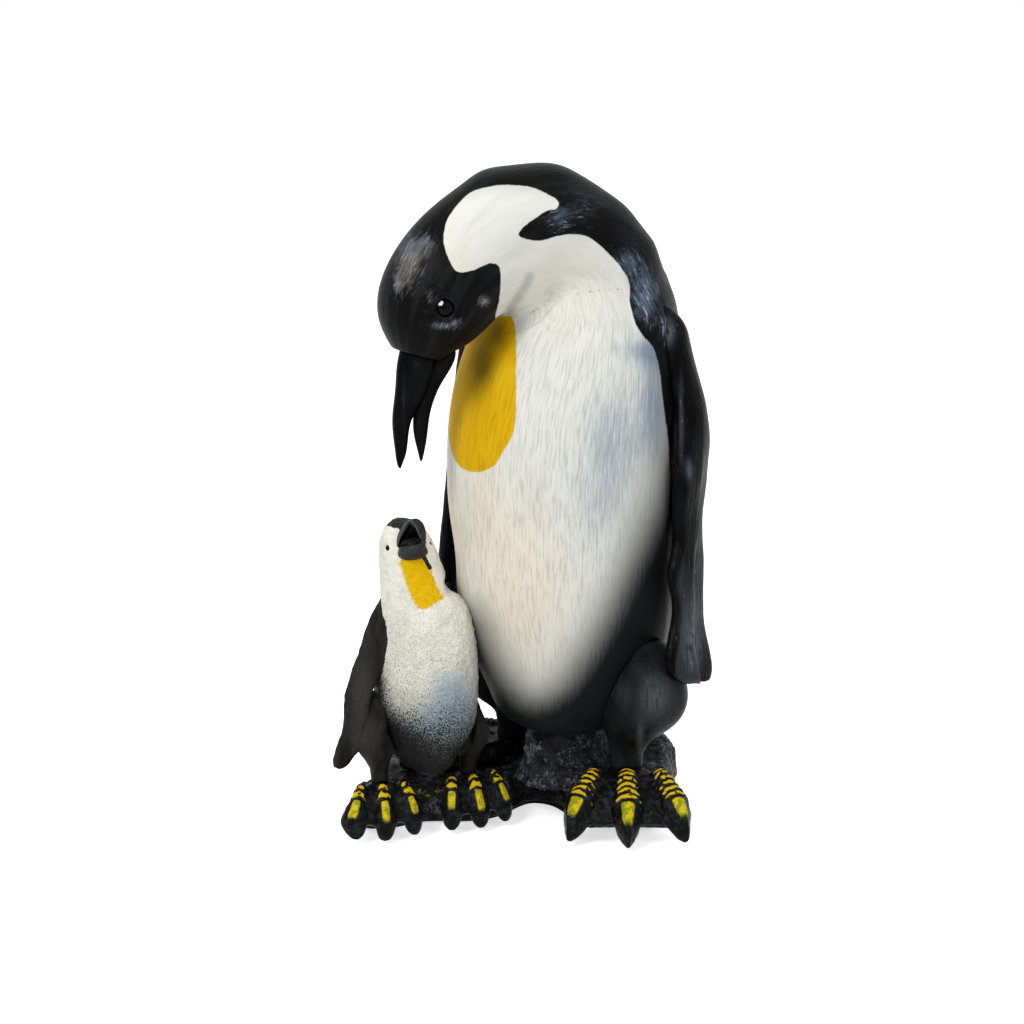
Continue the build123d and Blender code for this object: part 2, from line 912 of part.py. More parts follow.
for side, name in ((1, "adult_left"), (-1, "adult_right")):
    write(f"{name}_eye", adult_eyes[side])

    with BuildPart() as flipper_form:
        loft(level_rings(adult, flipper_rows(side), flipper_turns[side]))
    with BuildPart() as flipper:
        add(flipper_form.part)
        add(torso_form.part, mode=Mode.SUBTRACT)
        add(flipper_holes[side], mode=Mode.SUBTRACT)
    write(f"{name}_flipper", flipper.part)

    with BuildPart() as foot:
        add(adult_foot_forms[side])
        add(pin_holes["adult", side], mode=Mode.SUBTRACT)
    write(f"{name}_foot", foot.part)

    with BuildPart() as thigh:
        loft(level_rings(adult, thigh_rows(side)))
        add(torso_form.part, mode=Mode.SUBTRACT)
        add(flipper_form.part, mode=Mode.SUBTRACT)
        add(adult_foot_forms[side], mode=Mode.SUBTRACT)
        add(pin_holes["adult", side], mode=Mode.SUBTRACT)
    write(f"{name}_thigh", thigh.part)

with BuildPart() as adult_tail:
    add(adult_tail_form)
    add(torso_form.part, mode=Mode.SUBTRACT)
write("adult_tail", adult_tail.part)

# Chick

with BuildPart() as chick_body:
    add(chick_form.part)
    add(torso_form.part, mode=Mode.SUBTRACT)
    for eye in chick_eyes.values():
        add(eye, mode=Mode.SUBTRACT)
write("chick_body", chick_body.part)

chick_upper_form = chick_beak_form(chick_upper_shares)

with BuildPart() as chick_upper_beak:
    add(chick_upper_form)
    add(chick_form.part, mode=Mode.SUBTRACT)
write("chick_upper_beak", chick_upper_beak.part)

with BuildPart() as chick_lower_beak:
    add(chick_beak_form(chick_lower_shares))
    add(chick_form.part, mode=Mode.SUBTRACT)
    add(chick_upper_form, mode=Mode.SUBTRACT)
write("chick_lower_beak", chick_lower_beak.part)

with BuildPart() as chick_tail:
    add(chick_tail_form)
    add(chick_form.part, mode=Mode.SUBTRACT)
write("chick_tail", chick_tail.part)

for side, name, shares, turn in (
    (1, "chick_left", tucked_flipper_shares, 0),
    (-1, "chick_right", chick_flipper_shares, chick_flipper_turn),
):
    write(f"{name}_eye", chick_eyes[side])

    with BuildPart() as flipper:
        add(chick_flipper_form(shares, side, turn))
        add(chick_form.part, mode=Mode.SUBTRACT)
        add(torso_form.part, mode=Mode.SUBTRACT)
    write(f"{name}_flipper", flipper.part)

    with BuildPart() as foot:
        add(chick_foot_forms[side])
        add(pin_holes["chick", side], mode=Mode.SUBTRACT)
    write(f"{name}_foot", foot.part)

    with BuildPart() as thigh:
        add(chick_thigh_form(side))
        add(chick_form.part, mode=Mode.SUBTRACT)
        add(chick_foot_forms[side], mode=Mode.SUBTRACT)
        add(pin_holes["chick", side], mode=Mode.SUBTRACT)
    write(f"{name}_thigh", thigh.part)

# Rock with the feet and the adult's tail let into it, the felt under it, and the pins in the legs

with BuildPart() as base_rock:
    add(rock_form.part)
    loft(level_rings(adult, mound_rows))
    add(torso_form.part, mode=Mode.SUBTRACT)
    for form in (*adult_foot_forms.values(), *chick_foot_forms.values(), adult_tail_form, chick_tail_form):
        add(form, mode=Mode.SUBTRACT)
    for hole in pin_holes.values():
        add(hole, mode=Mode.SUBTRACT)
write("base_rock", base_rock.part)

with BuildPart() as felt_pad:
    add(rock_outline(Plane.XY, felt_inset))
    extrude(amount=felt_thickness)
write("felt_pad", felt_pad.part)

for bird in ("adult", "chick"):
    with BuildPart() as pins:
        for side in (1, -1):
            add(leg_pins[bird, side])
    write(f"{bird}_leg_pins", pins.part)
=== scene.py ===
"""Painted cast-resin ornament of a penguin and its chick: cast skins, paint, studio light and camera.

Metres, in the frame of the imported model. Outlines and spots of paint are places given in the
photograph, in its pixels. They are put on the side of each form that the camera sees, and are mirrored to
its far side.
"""

import math

import bmesh
import bpy
import numpy as np
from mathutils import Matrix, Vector, noise
from mathutils.bvhtree import BVHTree


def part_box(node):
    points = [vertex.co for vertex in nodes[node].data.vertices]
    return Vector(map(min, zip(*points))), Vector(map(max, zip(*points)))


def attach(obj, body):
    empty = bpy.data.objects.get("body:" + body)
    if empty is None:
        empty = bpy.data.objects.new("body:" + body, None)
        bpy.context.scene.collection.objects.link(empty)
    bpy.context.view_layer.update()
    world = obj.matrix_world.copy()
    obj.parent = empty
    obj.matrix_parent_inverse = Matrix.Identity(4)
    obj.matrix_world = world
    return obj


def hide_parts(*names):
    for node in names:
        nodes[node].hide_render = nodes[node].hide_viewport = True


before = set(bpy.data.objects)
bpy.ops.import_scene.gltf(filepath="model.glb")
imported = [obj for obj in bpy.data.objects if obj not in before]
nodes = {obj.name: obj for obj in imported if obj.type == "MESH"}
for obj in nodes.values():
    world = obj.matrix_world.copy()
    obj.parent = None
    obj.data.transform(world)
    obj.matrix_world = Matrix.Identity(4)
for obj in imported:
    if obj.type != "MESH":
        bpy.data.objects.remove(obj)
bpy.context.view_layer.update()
mm = 0.001

# Camera at the photograph's viewing angle

image_side = 1024
sensor_width = 36.0
camera_lens = 86.12
camera_place = Vector((0, -1083.52, 427.95)) * mm
camera_aim = Vector((0, -21, 143.25)) * mm

camera_data = bpy.data.cameras.new("photo_camera")
camera_data.sensor_width = sensor_width
camera_data.lens = camera_lens
camera = bpy.data.objects.new("photo_camera", camera_data)
camera.location = camera_place
camera.rotation_euler = (camera_aim - camera_place).to_track_quat("-Z", "Y").to_euler()
bpy.context.scene.collection.objects.link(camera)
bpy.context.scene.camera = camera
bpy.context.scene.view_settings.view_transform = "Standard"

sight = np.array((camera_aim - camera_place).normalized())
sight_right = np.array((1.0, 0.0, 0.0))
sight_up = np.cross(sight_right, sight)
pixels_per_slope = camera_lens / sensor_width * image_side

# One pixel of the photograph on the birds, in millimetres
pixel_mm = 0.45


def photo_places(points):
    """Where points fall in the photograph, in its pixels."""
    away = points - np.array(camera_place)
    depth = away @ sight
    across = away @ sight_right / depth
    rise = away @ sight_up / depth
    return image_side / 2 + pixels_per_slope * np.column_stack((across, -rise))


def eased(values, low, high):
    """0 below low, 1 above high, and a smooth rise between them."""
    share = np.clip((values - low) / (high - low), 0, 1)
    return share * share * (3 - 2 * share)


# Meshes: reading, cutting and writing them

merge_distance = 1e-6


def read(mesh, source="co"):
    """The vertices' places, or their normals, as one array."""
    flat = np.empty(len(mesh.vertices) * 3, dtype=np.float32)
    if source == "co":
        mesh.vertices.foreach_get("co", flat)
    else:
        mesh.vertex_normals.foreach_get("vector", flat)
    return flat.reshape(-1, 3).astype(float)


def reshape(mesh, points):
    """Moves the vertices to new places."""
    mesh.vertices.foreach_set("co", points.astype(np.float32).ravel())
    mesh.update()


def keep(mesh, name, values):
    """Stores a number, or three, per vertex for the paint to read."""
    kind = "FLOAT" if values.ndim == 1 else "FLOAT_VECTOR"
    layer = mesh.attributes.new(name, kind, "POINT")
    layer.data.foreach_set("value" if kind == "FLOAT" else "vector", values.astype(np.float32).ravel())


def show(name, mesh):
    """A piece of the ornament or of the studio, linked into the scene."""
    piece = bpy.data.objects.new(name, mesh)
    bpy.context.scene.collection.objects.link(piece)
    return piece


def settle(piece, kind, **settings):
    """Applies one modifier to the piece's own mesh."""
    modifier = piece.modifiers.new(kind.lower(), kind)
    for name, value in settings.items():
        setattr(modifier, name, value)
    graph = bpy.context.evaluated_depsgraph_get()
    shaped = bpy.data.meshes.new_from_object(piece.evaluated_get(graph))
    old = piece.data
    piece.modifiers.clear()
    piece.data = shaped
    bpy.data.meshes.remove(old)


def outer_shell(form):
    """Deletes every shell but the largest, such as the wall of a sealed hollow."""
    left = set(form.verts)
    shells = []
    while left:
        shell = {left.pop()}
        rim = list(shell)
        while rim:
            vertex = rim.pop()
            for line in vertex.link_edges:
                other = line.other_vert(vertex)
                if other in left:
                    left.remove(other)
                    shell.add(other)
                    rim.append(other)
        shells.append(shell)
    shells.sort(key=len)
    for shell in shells[:-1]:
        bmesh.ops.delete(form, geom=list(shell), context="VERTS")


def cast(name, names, voxel, sanding):
    """A cast skin over copies of CAD nodes: voxels melt them into one form, and sanding rounds its edges."""
    form = bmesh.new()
    for node_name in names:
        form.from_mesh(nodes[node_name].data)
    bmesh.ops.remove_doubles(form, verts=form.verts, dist=merge_distance)
    mesh = bpy.data.meshes.new(name)
    form.to_mesh(mesh)
    form.free()
    piece = show(name, mesh)
    settle(piece, "REMESH", mode="VOXEL", voxel_size=voxel * mm)
    settle(piece, "SMOOTH", factor=0.5, iterations=sanding)
    form = bmesh.new()
    form.from_mesh(piece.data)
    outer_shell(form)
    for face in form.faces:
        face.smooth = True
    form.to_mesh(piece.data)
    form.free()
    return piece


def refine(piece, centres, radius, cuts):
    """Divides the faces near some places, for detail that is finer than the rest."""
    form = bmesh.new()
    form.from_mesh(piece.data)
    lines = [
        line
        for line in form.edges
        if any((vertex.co - centre).length < radius for vertex in line.verts for centre in centres)
    ]
    bmesh.ops.subdivide_edges(form, edges=lines, cuts=cuts, use_grid_fill=True, smooth=0.0)
    form.to_mesh(piece.data)
    form.free()


def relax(mesh, points, weight, rounds):
    """Evens out the points towards their neighbours, by a weight per vertex."""
    pairs = np.empty(len(mesh.edges) * 2, dtype=np.int32)
    mesh.edges.foreach_get("vertices", pairs)
    first, second = pairs.reshape(-1, 2).T
    count = np.bincount(first, minlength=len(points)) + np.bincount(second, minlength=len(points))
    for _ in range(rounds):
        mean = np.empty_like(points)
        for axis in range(3):
            mean[:, axis] = (
                np.bincount(first, points[second, axis], len(points))
                + np.bincount(second, points[first, axis], len(points))
            ) / count
        points = points + (mean - points) * weight[:, None]
    return points


def lumps(points, size, depth, seed=0.0):
    """Low lumps of a hand-made model, as heights in metres."""
    shift = Vector((seed, seed * 2, seed * 3))
    return np.array([noise.noise(Vector(point) / (size * mm) + shift) for point in points]) * depth * mm


def finish_piece(piece, paint, node_names):
    """Gives a piece its paint, and lets it stand for CAD nodes."""
    piece.data.materials.clear()
    piece.data.materials.append(paint)
    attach(piece, "root")
    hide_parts(*node_names)


# Outlines of paint in the photograph


def rounded(corners, steps=6, closed=True):
    """A smooth (Catmull-Rom) line through corners."""
    corners = np.array(corners, float)
    if closed:
        before, start, end, after = (np.roll(corners, shift, axis=0) for shift in (1, 0, -1, -2))
    else:
        run = np.vstack((corners[:1], corners, corners[-1:]))
        before, start, end, after = run[:-3], run[1:-2], run[2:-1], run[3:]
    line = []
    for share in np.arange(steps) / steps:
        line.append(
            0.5
            * (
                2 * start
                + (end - before) * share
                + (2 * before - 5 * start + 4 * end - after) * share**2
                + (3 * start - before - 3 * end + after) * share**3
            )
        )
    line = np.stack(line, axis=1).reshape(-1, corners.shape[1])
    return line if closed else np.vstack((line, corners[-1:]))


def line_distance(places, line):
    """How far places are from an open line, and the share of it that they are nearest to."""
    nearest = np.full(len(places), np.inf)
    share = np.zeros(len(places))
    for step, (start, end) in enumerate(zip(line[:-1], line[1:])):
        run = end - start
        along = np.clip((places - start) @ run / (run @ run), 0, 1)
        distance = np.linalg.norm(places - start - along[:, None] * run, axis=1)
        closer = distance < nearest
        nearest[closer] = distance[closer]
        share[closer] = (step + along[closer]) / (len(line) - 1)
    return nearest, share


def depth_inside(places, outline):
    """Distance from a closed outline in millimetres, positive inside."""
    closed = np.vstack((outline, outline[:1]))
    distance = line_distance(places, closed)[0]
    inside = np.zeros(len(places), dtype=bool)
    for (x0, y0), (x1, y1) in zip(closed[:-1], closed[1:]):
        if y0 == y1:
            continue
        crosses = (y0 > places[:, 1]) != (y1 > places[:, 1])
        inside ^= crosses & (places[:, 0] < x0 + (places[:, 1] - y0) * (x1 - x0) / (y1 - y0))
    return np.where(inside, distance, -distance) * pixel_mm


def soft_spots(places, spots):
    """How strongly places lie in soft spots, each (u, v, half width, half height, strength) in pixels."""
    total = np.zeros(len(places))
    for u, v, wide, high, strength in spots:
        total += strength * np.exp(-(((places[:, 0] - u) / wide) ** 2) - ((places[:, 1] - v) / high) ** 2)
    return total


def pulls_at(places, pulls):
    """How far pulls move what lies at places, as if it were clay.

    Each is (u, v, half width, half height, right, down) in pixels of the photograph.
    """
    moves = np.zeros((len(places), 3))
    for u, v, wide, high, right, down in pulls:
        share = soft_spots(places, [(u, v, wide, high, 1.0)])
        moves += share[:, None] * pixel_mm * mm * (right * sight_right - down * sight_up)
    return moves


class Lit:
    """How a form's vertices lie in the photograph, with the bird's far side mirrored to the near one."""

    def __init__(self, mesh, origin, side):
        self.points = read(mesh)
        self.normals = read(mesh, "normal")
        self.side = side
        off = np.minimum((self.points - origin) @ side, 0)
        self.is_far = off < 0
        turned = np.where(off < 0, self.normals @ side, 0)
        self.near = photo_places(self.points)
        self.far = photo_places(self.points - 2 * off[:, None] * side)
        self.near_seen = self.faces_camera(self.normals)
        self.far_seen = self.faces_camera(self.normals - 2 * turned[:, None] * side)

    def pull(self, pulls, mirrored=True):
        """The places after pulls, which the far side gets mirrored or as they are."""
        if not mirrored:
            return self.points + pulls_at(self.near, pulls)
        moves = pulls_at(self.far, pulls)
        turned = moves - 2 * (moves @ self.side)[:, None] * self.side
        return self.points + np.where(self.is_far[:, None], turned, moves)

    def faces_camera(self, normals):
        """1 where a surface is turned to the camera, 0 where it is turned away."""
        return eased(-(normals @ sight), -0.03, 0.04)

    def mix(self, work, unseen):
        """A value worked out for the near and the far side, and what it is where neither is seen."""
        far = self.far_seen * work(self.far) + (1 - self.far_seen) * unseen
        return self.near_seen * work(self.near) + (1 - self.near_seen) * far

    def patch(self, outline, unseen=-10.0):
        """Depth inside an outline of paint, in millimetres."""
        return self.mix(lambda places: depth_inside(places, outline), unseen)

    def spots(self, spots, unseen=0.0):
        """Strength of soft spots of paint."""
        return self.mix(lambda places: soft_spots(places, spots), unseen)

    def stroke(self, line, width, unseen=0.0):
        """1 on a line in the photograph, falling to 0 over a width in pixels."""
        return self.mix(lambda places: np.exp(-((line_distance(places, line)[0] / width) ** 2)), unseen)


def lay_along(points, line, side, around, reach=None):
    """The way the strokes lie: round a spine in x and y, and along it in z.

    A reach leaves out the spine's far end.
    """
    smooth_line = rounded(line, closed=False)
    near_line = smooth_line[:reach]
    share = line_distance(points, near_line)[1] * (len(near_line) - 1) / (len(smooth_line) - 1)
    lengths = np.concatenate(([0], np.cumsum(np.linalg.norm(np.diff(smooth_line, axis=0), axis=1))))
    places = share * (len(smooth_line) - 1)
    steps = np.minimum(places.astype(int), len(smooth_line) - 2)
    tangents = smooth_line[steps + 1] - smooth_line[steps]
    centres = smooth_line[steps] + (places - steps)[:, None] * tangents
    tangents /= np.linalg.norm(tangents, axis=1)[:, None]
    out = points - centres
    ahead = np.cross(tangents, side)
    angle = np.arctan2(out @ side, np.sum(out * ahead, axis=1))
    along = np.interp(places, np.arange(len(lengths)), lengths)
    return np.column_stack((around * np.cos(angle), around * np.sin(angle), along))


# Where the birds stand, and the planes that their left and right sides mirror in

adult_axis = np.array((26.0, -16.0, 0.0)) * mm
adult_left = np.array((0.788, -0.616, 0.0))
neck_axis = np.array((37.1, -13.2, 0.0)) * mm
neck_left = np.array((0.5, -0.866, 0.0))
chick_axis = np.array((-39.9, -40.6, 0.0)) * mm
chick_left = np.array((0.951, 0.309, 0.0))
chick_back = np.array((-0.309, 0.951, 0.0))

# Paint: colours and nodes


def linear(colour):
    """An sRGB hex colour as the linear one that shaders take."""
    channels = [int(colour[place : place + 2], 16) / 255 for place in (1, 3, 5)]
    return tuple(c / 12.92 if c <= 0.04045 else ((c + 0.055) / 1.055) ** 2.4 for c in channels) + (1.0,)


def add(tree, kind, inputs=(), output=0, **settings):
    """Adds a node with its settings, sets or links its sockets, and hands back one of its outputs."""
    made = tree.nodes.new(kind)
    for name, value in settings.items():
        setattr(made, name, value)
    for socket, value in dict(inputs).items():
        if isinstance(value, bpy.types.NodeSocket):
            tree.links.new(value, made.inputs[socket])
        else:
            made.inputs[socket].default_value = value
    return made.outputs[output] if made.outputs else None


def new_paint(name):
    """An empty material and its nodes."""
    paint = bpy.data.materials.new(name)
    paint.use_nodes = True
    paint.node_tree.nodes.clear()
    return paint, paint.node_tree


def strokes(tree, places, size, detail=3.0, rough=0.6):
    """Marks of brush, chisel or grit as noise, as long as a size says in millimetres along each axis."""
    scale = [1 / (length * mm) for length in size]
    scaled = add(tree, "ShaderNodeMapping", {"Vector": places, "Scale": scale})
    noisy = {"Vector": scaled, "Scale": 1.0, "Detail": detail, "Roughness": rough}
    return add(tree, "ShaderNodeTexNoise", noisy)


def brush_over(tree, under, colour, marks, low, high, share=1.0):
    """A coat over another, and likewise painted shade and highlights: it catches on marks between two levels,
    as far as a share.
    """
    catch = {"Value": marks, "From Min": low, "From Max": high, "To Max": share}
    cover = add(tree, "ShaderNodeMapRange", catch, interpolation_type="SMOOTHSTEP")
    return add(tree, "ShaderNodeMix", {0: cover, 6: under, 7: colour}, 2, data_type="RGBA")


def shifted(tree, marks, middle, reach, by):
    """A stored depth, pushed to and fro by marks that reach a distance either side."""
    centred = add(tree, "ShaderNodeMath", {0: marks, 1: middle}, operation="SUBTRACT")
    return add(tree, "ShaderNodeMath", {0: centred, 1: reach, 2: by}, operation="MULTIPLY_ADD")


# Acrylic, varnish, resin and glass alike, and the shader's default, which the metal keeps
acrylic_ior = 1.5


def varnish(tree, colour, roughness, specular, relief=None, relief_depth=0.0, **more):
    """Closes a paint: its shader, with a bump as deep as the real marks in millimetres, and the output.

    The specular level is low on all that the camera sees, because the white studio would turn the edges of
    a real varnish grey.
    """
    surface = {
        "Base Color": colour,
        "Roughness": roughness,
        "IOR": acrylic_ior,
        "Specular IOR Level": specular,
        **more,
    }
    if relief is not None:
        depth = {"Height": relief, "Distance": relief_depth * mm, "Strength": 1.0}
        surface["Normal"] = add(tree, "ShaderNodeBump", depth)
    shader = add(tree, "ShaderNodeBsdfPrincipled", surface)
    add(tree, "ShaderNodeOutputMaterial", {"Surface": shader})


# Outlines on the adult, in the photograph's pixels

nape_top = [
    (444.3, 245.7), (444.7, 229.7), (450.7, 213.8), (469.9, 193), (493.8, 186), (509.7, 185), (532, 187.5),
    (551.2, 196.2), (558.4, 202.6), (556, 209), (548, 210.3), (532, 220.2), (520.9, 229.7), (520.1, 236.9),
    (538.4, 240.9), (557.6, 236.1), (573.5, 234.2), (589.4, 237.7), (605.4, 250.4), (621.3, 268),
    (629.3, 283.9), (630.1, 303.1), (635.7, 323.8), (643.6, 336.5),
]  # fmt: skip
head_white = rounded(
    nape_top + [(650, 420), (505, 420), (498, 340), (495.4, 317.4), (499.4, 298.3), (500.2, 269.6),
    (490.6, 263.2), (472.3, 270.4), (455.5, 270.4)]
)  # fmt: skip
belly_white = rounded(
    nape_top + [(653.2, 347.7), (659.6, 370), (662.8, 400), (668, 440), (670, 480), (668, 530), (667, 580),
    (664, 640), (640, 760), (530, 775), (480, 745), (440, 700), (420, 620), (415, 500), (400, 420),
    (380, 400), (380, 320), (420, 270)]
)  # fmt: skip
chest_yellow = rounded(
    [(506, 311), (512.6, 319.5), (515.9, 336), (515.9, 386), (515.9, 411), (512.6, 434), (502.7, 452),
    (494.4, 465.4), (479.5, 472), (462.9, 468.8), (452.9, 455.5), (447.9, 432), (446, 402), (447, 375),
    (462, 340), (490, 318)]
)  # fmt: skip
# Painted shade: the belly darkens to near black outside this outline, at its bottom and its right side
lit_belly = rounded(
    [(420, 200), (640, 200), (668, 330), (672, 420), (662, 480), (646, 525), (622, 578), (595, 634),
    (562, 682), (534, 697), (512, 681), (494, 654), (478, 622), (455, 604), (400, 570)]
)  # fmt: skip

# Adult: torso and head are cast as one skin, evened out over the shoulders, and cut apart at the neck's root


def tree_over(name):
    """A search tree over a CAD node's surface."""
    form = bmesh.new()
    form.from_mesh(nodes[name].data)
    found = BVHTree.FromBMesh(form)
    form.free()
    return found


def distance_to(points, name):
    """How far points are from a CAD node's surface."""
    tree = tree_over(name)
    return np.array([tree.find_nearest(Vector(point))[3] for point in points])


def middle_of(name):
    """The middle of a CAD node's box."""
    low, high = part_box(name)
    return (Vector(low) + Vector(high)) / 2


# From the seat up to the neck and over to the brow. The torso's strokes follow only its first points.
spine = np.array(
    [(26, -16, 30), (26, -16, 120), (27, -15.5, 180), (32, -14, 215), (35, -14, 240), (28, -18, 261),
    (10.6, -28.5, 272), (-10.5, -40.7, 267), (-25.3, -49.2, 255), (-33.5, -53.9, 242), (-38.5, -56.9, 231),
    (-41.5, -58.5, 215)]
) * mm  # fmt: skip
spine_in_torso = 37
# Midway between the normals of the two mirror planes, whose sum is about this long
normals_sum = 1.97
across_spine = (adult_left + neck_left) / normals_sum
seam_width = 7 * mm
eye_spots = [middle_of("adult_left_eye"), middle_of("adult_right_eye")]

body = cast("adult_body", ["adult_torso", "torso_plug", "adult_head"], 1.0, 6)
points = read(body.data)
from_seam = distance_to(points, "adult_head") + distance_to(points, "adult_torso")
seam = np.exp(-((from_seam / seam_width) ** 2))
reshape(body.data, relax(body.data, points, 0.6 * eased(seam, 0.05, 0.6), 60))
refine(body, eye_spots, 13 * mm, 2)

# The outline of the photograph's back, crown, shoulder and flank
lit = Lit(body.data, adult_axis, adult_left)
body_pulls = [
    (652, 250, 26, 30, 8, -3), (632, 205, 22, 22, 3, -2), (560, 166, 30, 12, 0, -3),
    (490, 176, 26, 16, -3, -4), (664, 267, 10, 11, 5, 0), (450, 560, 10, 50, 4, 0), (478, 690, 18, 44, 6, -1),
]  # fmt: skip
reshape(body.data, lit.pull(body_pulls, mirrored=False))

# Relief of the body: a crease under the throat, a knuckle at the shoulder, and lids and folds round each eye
lit = Lit(body.data, adult_axis, adult_left)
crease_line = rounded([(530, 278), (524, 289), (516, 300), (509, 311)], closed=False)
heights = -0.8 * mm * lit.stroke(crease_line, 4.0) + lumps(lit.points, 28, 0.5)
heights += 2.4 * mm * lit.spots([(646, 318, 9, 10, 1.0), (664, 322, 8, 14, 0.6)])
# Round each eye, as radius, height and width in millimetres: the lid, its groove and two folds under them
lids = ((5.0, 0.75, 0.9), (6.7, -0.45, 0.9))
folds = ((8.6, 0.5, 1.0), (11.0, 0.35, 1.2))
for spot in eye_spots:
    away = np.linalg.norm(lit.points - np.array(spot), axis=1) / mm
    below = eased(spot.z - lit.points[:, 2], -1 * mm, 5 * mm)
    for rings, share in ((lids, 1), (folds, below)):
        for radius, height, width in rings:
            heights += height * mm * np.exp(-(((away - radius) / width) ** 2)) * share
    heights += lumps(lit.points, 2.4, 0.5, 4) * eased(away, 15, 7) * eased(away, 3.9, 5.5)
reshape(body.data, lit.points + lit.normals * heights[:, None])

# Hand-brushed acrylic over cast polyresin: white and yellow dry satin, with chisel strokes streaked darker
# and paler, and painted shade towards the belly's bottom and right side and in the throat's crease; black
# under a gloss varnish, with painted glints and sheen on its brush ridges
body_paint, tree = new_paint("hand_brushed_body_paint")
layer = {
    name: add(tree, "ShaderNodeAttribute", (), "Fac", attribute_name=name)
    for name in ("white", "yellow", "belly_shade", "blue", "warm", "head_shadow", "painted_glint", "crease_shade", "chisel")
}
lay = add(tree, "ShaderNodeAttribute", (), "Vector", attribute_name="lay")
fine = strokes(tree, lay, (0.6, 0.6, 9))
broad = strokes(tree, lay, (10, 10, 26), 2.0, 0.5)
blots = strokes(tree, lay, (2.5, 2.5, 2.5))
hatching = strokes(tree, lay, (1.3, 1.3, 4), 4.0, 0.7)
cream = brush_over(tree, linear("#e3e4de"), linear("#d5d6ce"), broad, 0.38, 0.75, 0.7)
cream = brush_over(tree, cream, linear("#ecdfc8"), layer["warm"], 0.0, 1.0, 0.75)
washed = shifted(tree, fine, 0.5, 0.5, layer["blue"])
cream = brush_over(tree, cream, linear("#7f93a8"), washed, 0.0, 1.1, 0.95)
# Painted shade along the crease under the throat
cream = brush_over(tree, cream, linear("#7f8078"), layer["crease_shade"], 0.0, 1.0, 0.4)
# Chisel strokes streaked darker and paler, strongest on the chest
streak_share = add(tree, "ShaderNodeMath", {0: layer["chisel"], 1: 0.32}, operation="MULTIPLY")
cream = brush_over(tree, cream, linear("#96928a"), fine, 0.47, 0.66, streak_share)
cream = brush_over(tree, cream, linear("#f4f3ee"), fine, 0.44, 0.3, streak_share)
# Painted shade on the belly, deepening outside its lit outline
belly_shade_depth = shifted(tree, fine, 0.5, 7.0, layer["belly_shade"])
cream = brush_over(tree, linear("#141517"), cream, belly_shade_depth, -11.0, 15.0)
golden = brush_over(tree, linear("#deb010"), linear("#c0940a"), fine, 0.42, 0.74)
golden = brush_over(tree, golden, linear("#e8c012"), broad, 0.5, 0.75, 0.6)
# Painted shadow of the head on the yellow chest
golden = brush_over(tree, golden, linear("#463f05"), layer["head_shadow"], 0.0, 1.0, 0.9)
painted = brush_over(tree, cream, golden, shifted(tree, blots, 0.5, 0.9, layer["yellow"]), -0.35, 0.35)
# Painted sheen and glints on the black: a pale glaze, blue-grey or brown where warm, with dark brush marks
# and bright flecks
painted_sheen = brush_over(tree, linear("#66788e"), linear("#7d766e"), layer["warm"], 0.2, 0.9)
black = brush_over(tree, linear("#0a0a0b"), linear("#1c1d1f"), broad, 0.4, 0.7)
black = brush_over(tree, black, painted_sheen, shifted(tree, blots, 0.5, 1.2, layer["painted_glint"]), 0.15, 1.15, 0.85)
black = brush_over(tree, black, linear("#131417"), hatching, 0.5, 0.36, layer["painted_glint"])
black = brush_over(tree, black, linear("#c9ccd0"), hatching, 0.57, 0.7, layer["painted_glint"])
is_white = {"Value": shifted(tree, blots, 0.5, 0.8, layer["white"]), "From Min": -0.3, "From Max": 0.3}
cover = add(tree, "ShaderNodeMapRange", is_white, interpolation_type="SMOOTHSTEP")
colour = add(tree, "ShaderNodeMix", {0: cover, 6: black, 7: painted}, 2, data_type="RGBA")
roughness = add(tree, "ShaderNodeMix", {0: cover, 2: 0.34, 3: 0.5}, data_type="FLOAT")
height = add(tree, "ShaderNodeMix", {0: cover, 2: hatching, 3: fine}, data_type="FLOAT")
varnish(tree, colour, roughness, 0.035, height, 0.35)

# Soft spots of paint: blue-grey on the belly's right side, with painted shade in the fold under the shoulder
# and under the throat; warm cream tones, which also turn the painted sheen brown on the crown; the painted
# shadow of the head on the yellow; and painted glints on the black
washes = {
    "blue": [
        (652, 352, 20, 18, 0.6), (654, 404, 16, 60, 0.75), (632, 350, 30, 10, 0.3), (612, 440, 34, 60, 0.6),
        (600, 520, 40, 50, 0.3), (600, 324, 44, 7, 0.2), (515, 265, 14, 22, 0.08),
    ],
    "warm": [
        (520, 590, 50, 80, 0.9), (480, 500, 30, 60, 0.6), (560, 290, 50, 50, 0.4), (425, 285, 42, 55, 1.0),
        (484, 300, 14, 12, 0.6), (453, 560, 8, 60, 1.0),
    ],
    "head_shadow": [(483, 364, 13, 28, 0.65), (498, 334, 9, 15, 0.55), (474, 395, 12, 22, 0.3)],
    "painted_glint": [
        (408, 262, 11, 24, 1.0), (424, 246, 12, 12, 0.8), (398, 284, 5, 12, 0.8), (484, 301, 6, 6, 0.9),
        (441, 326, 12, 4, 0.8), (456, 322, 8, 5, 0.6), (430, 298, 4, 10, 0.4), (560, 218, 14, 14, 0.6),
        (586, 206, 16, 14, 0.3), (645, 294, 14, 26, 0.95), (628, 262, 12, 14, 0.7), (667, 326, 7, 16, 0.8),
    ],
}  # fmt: skip


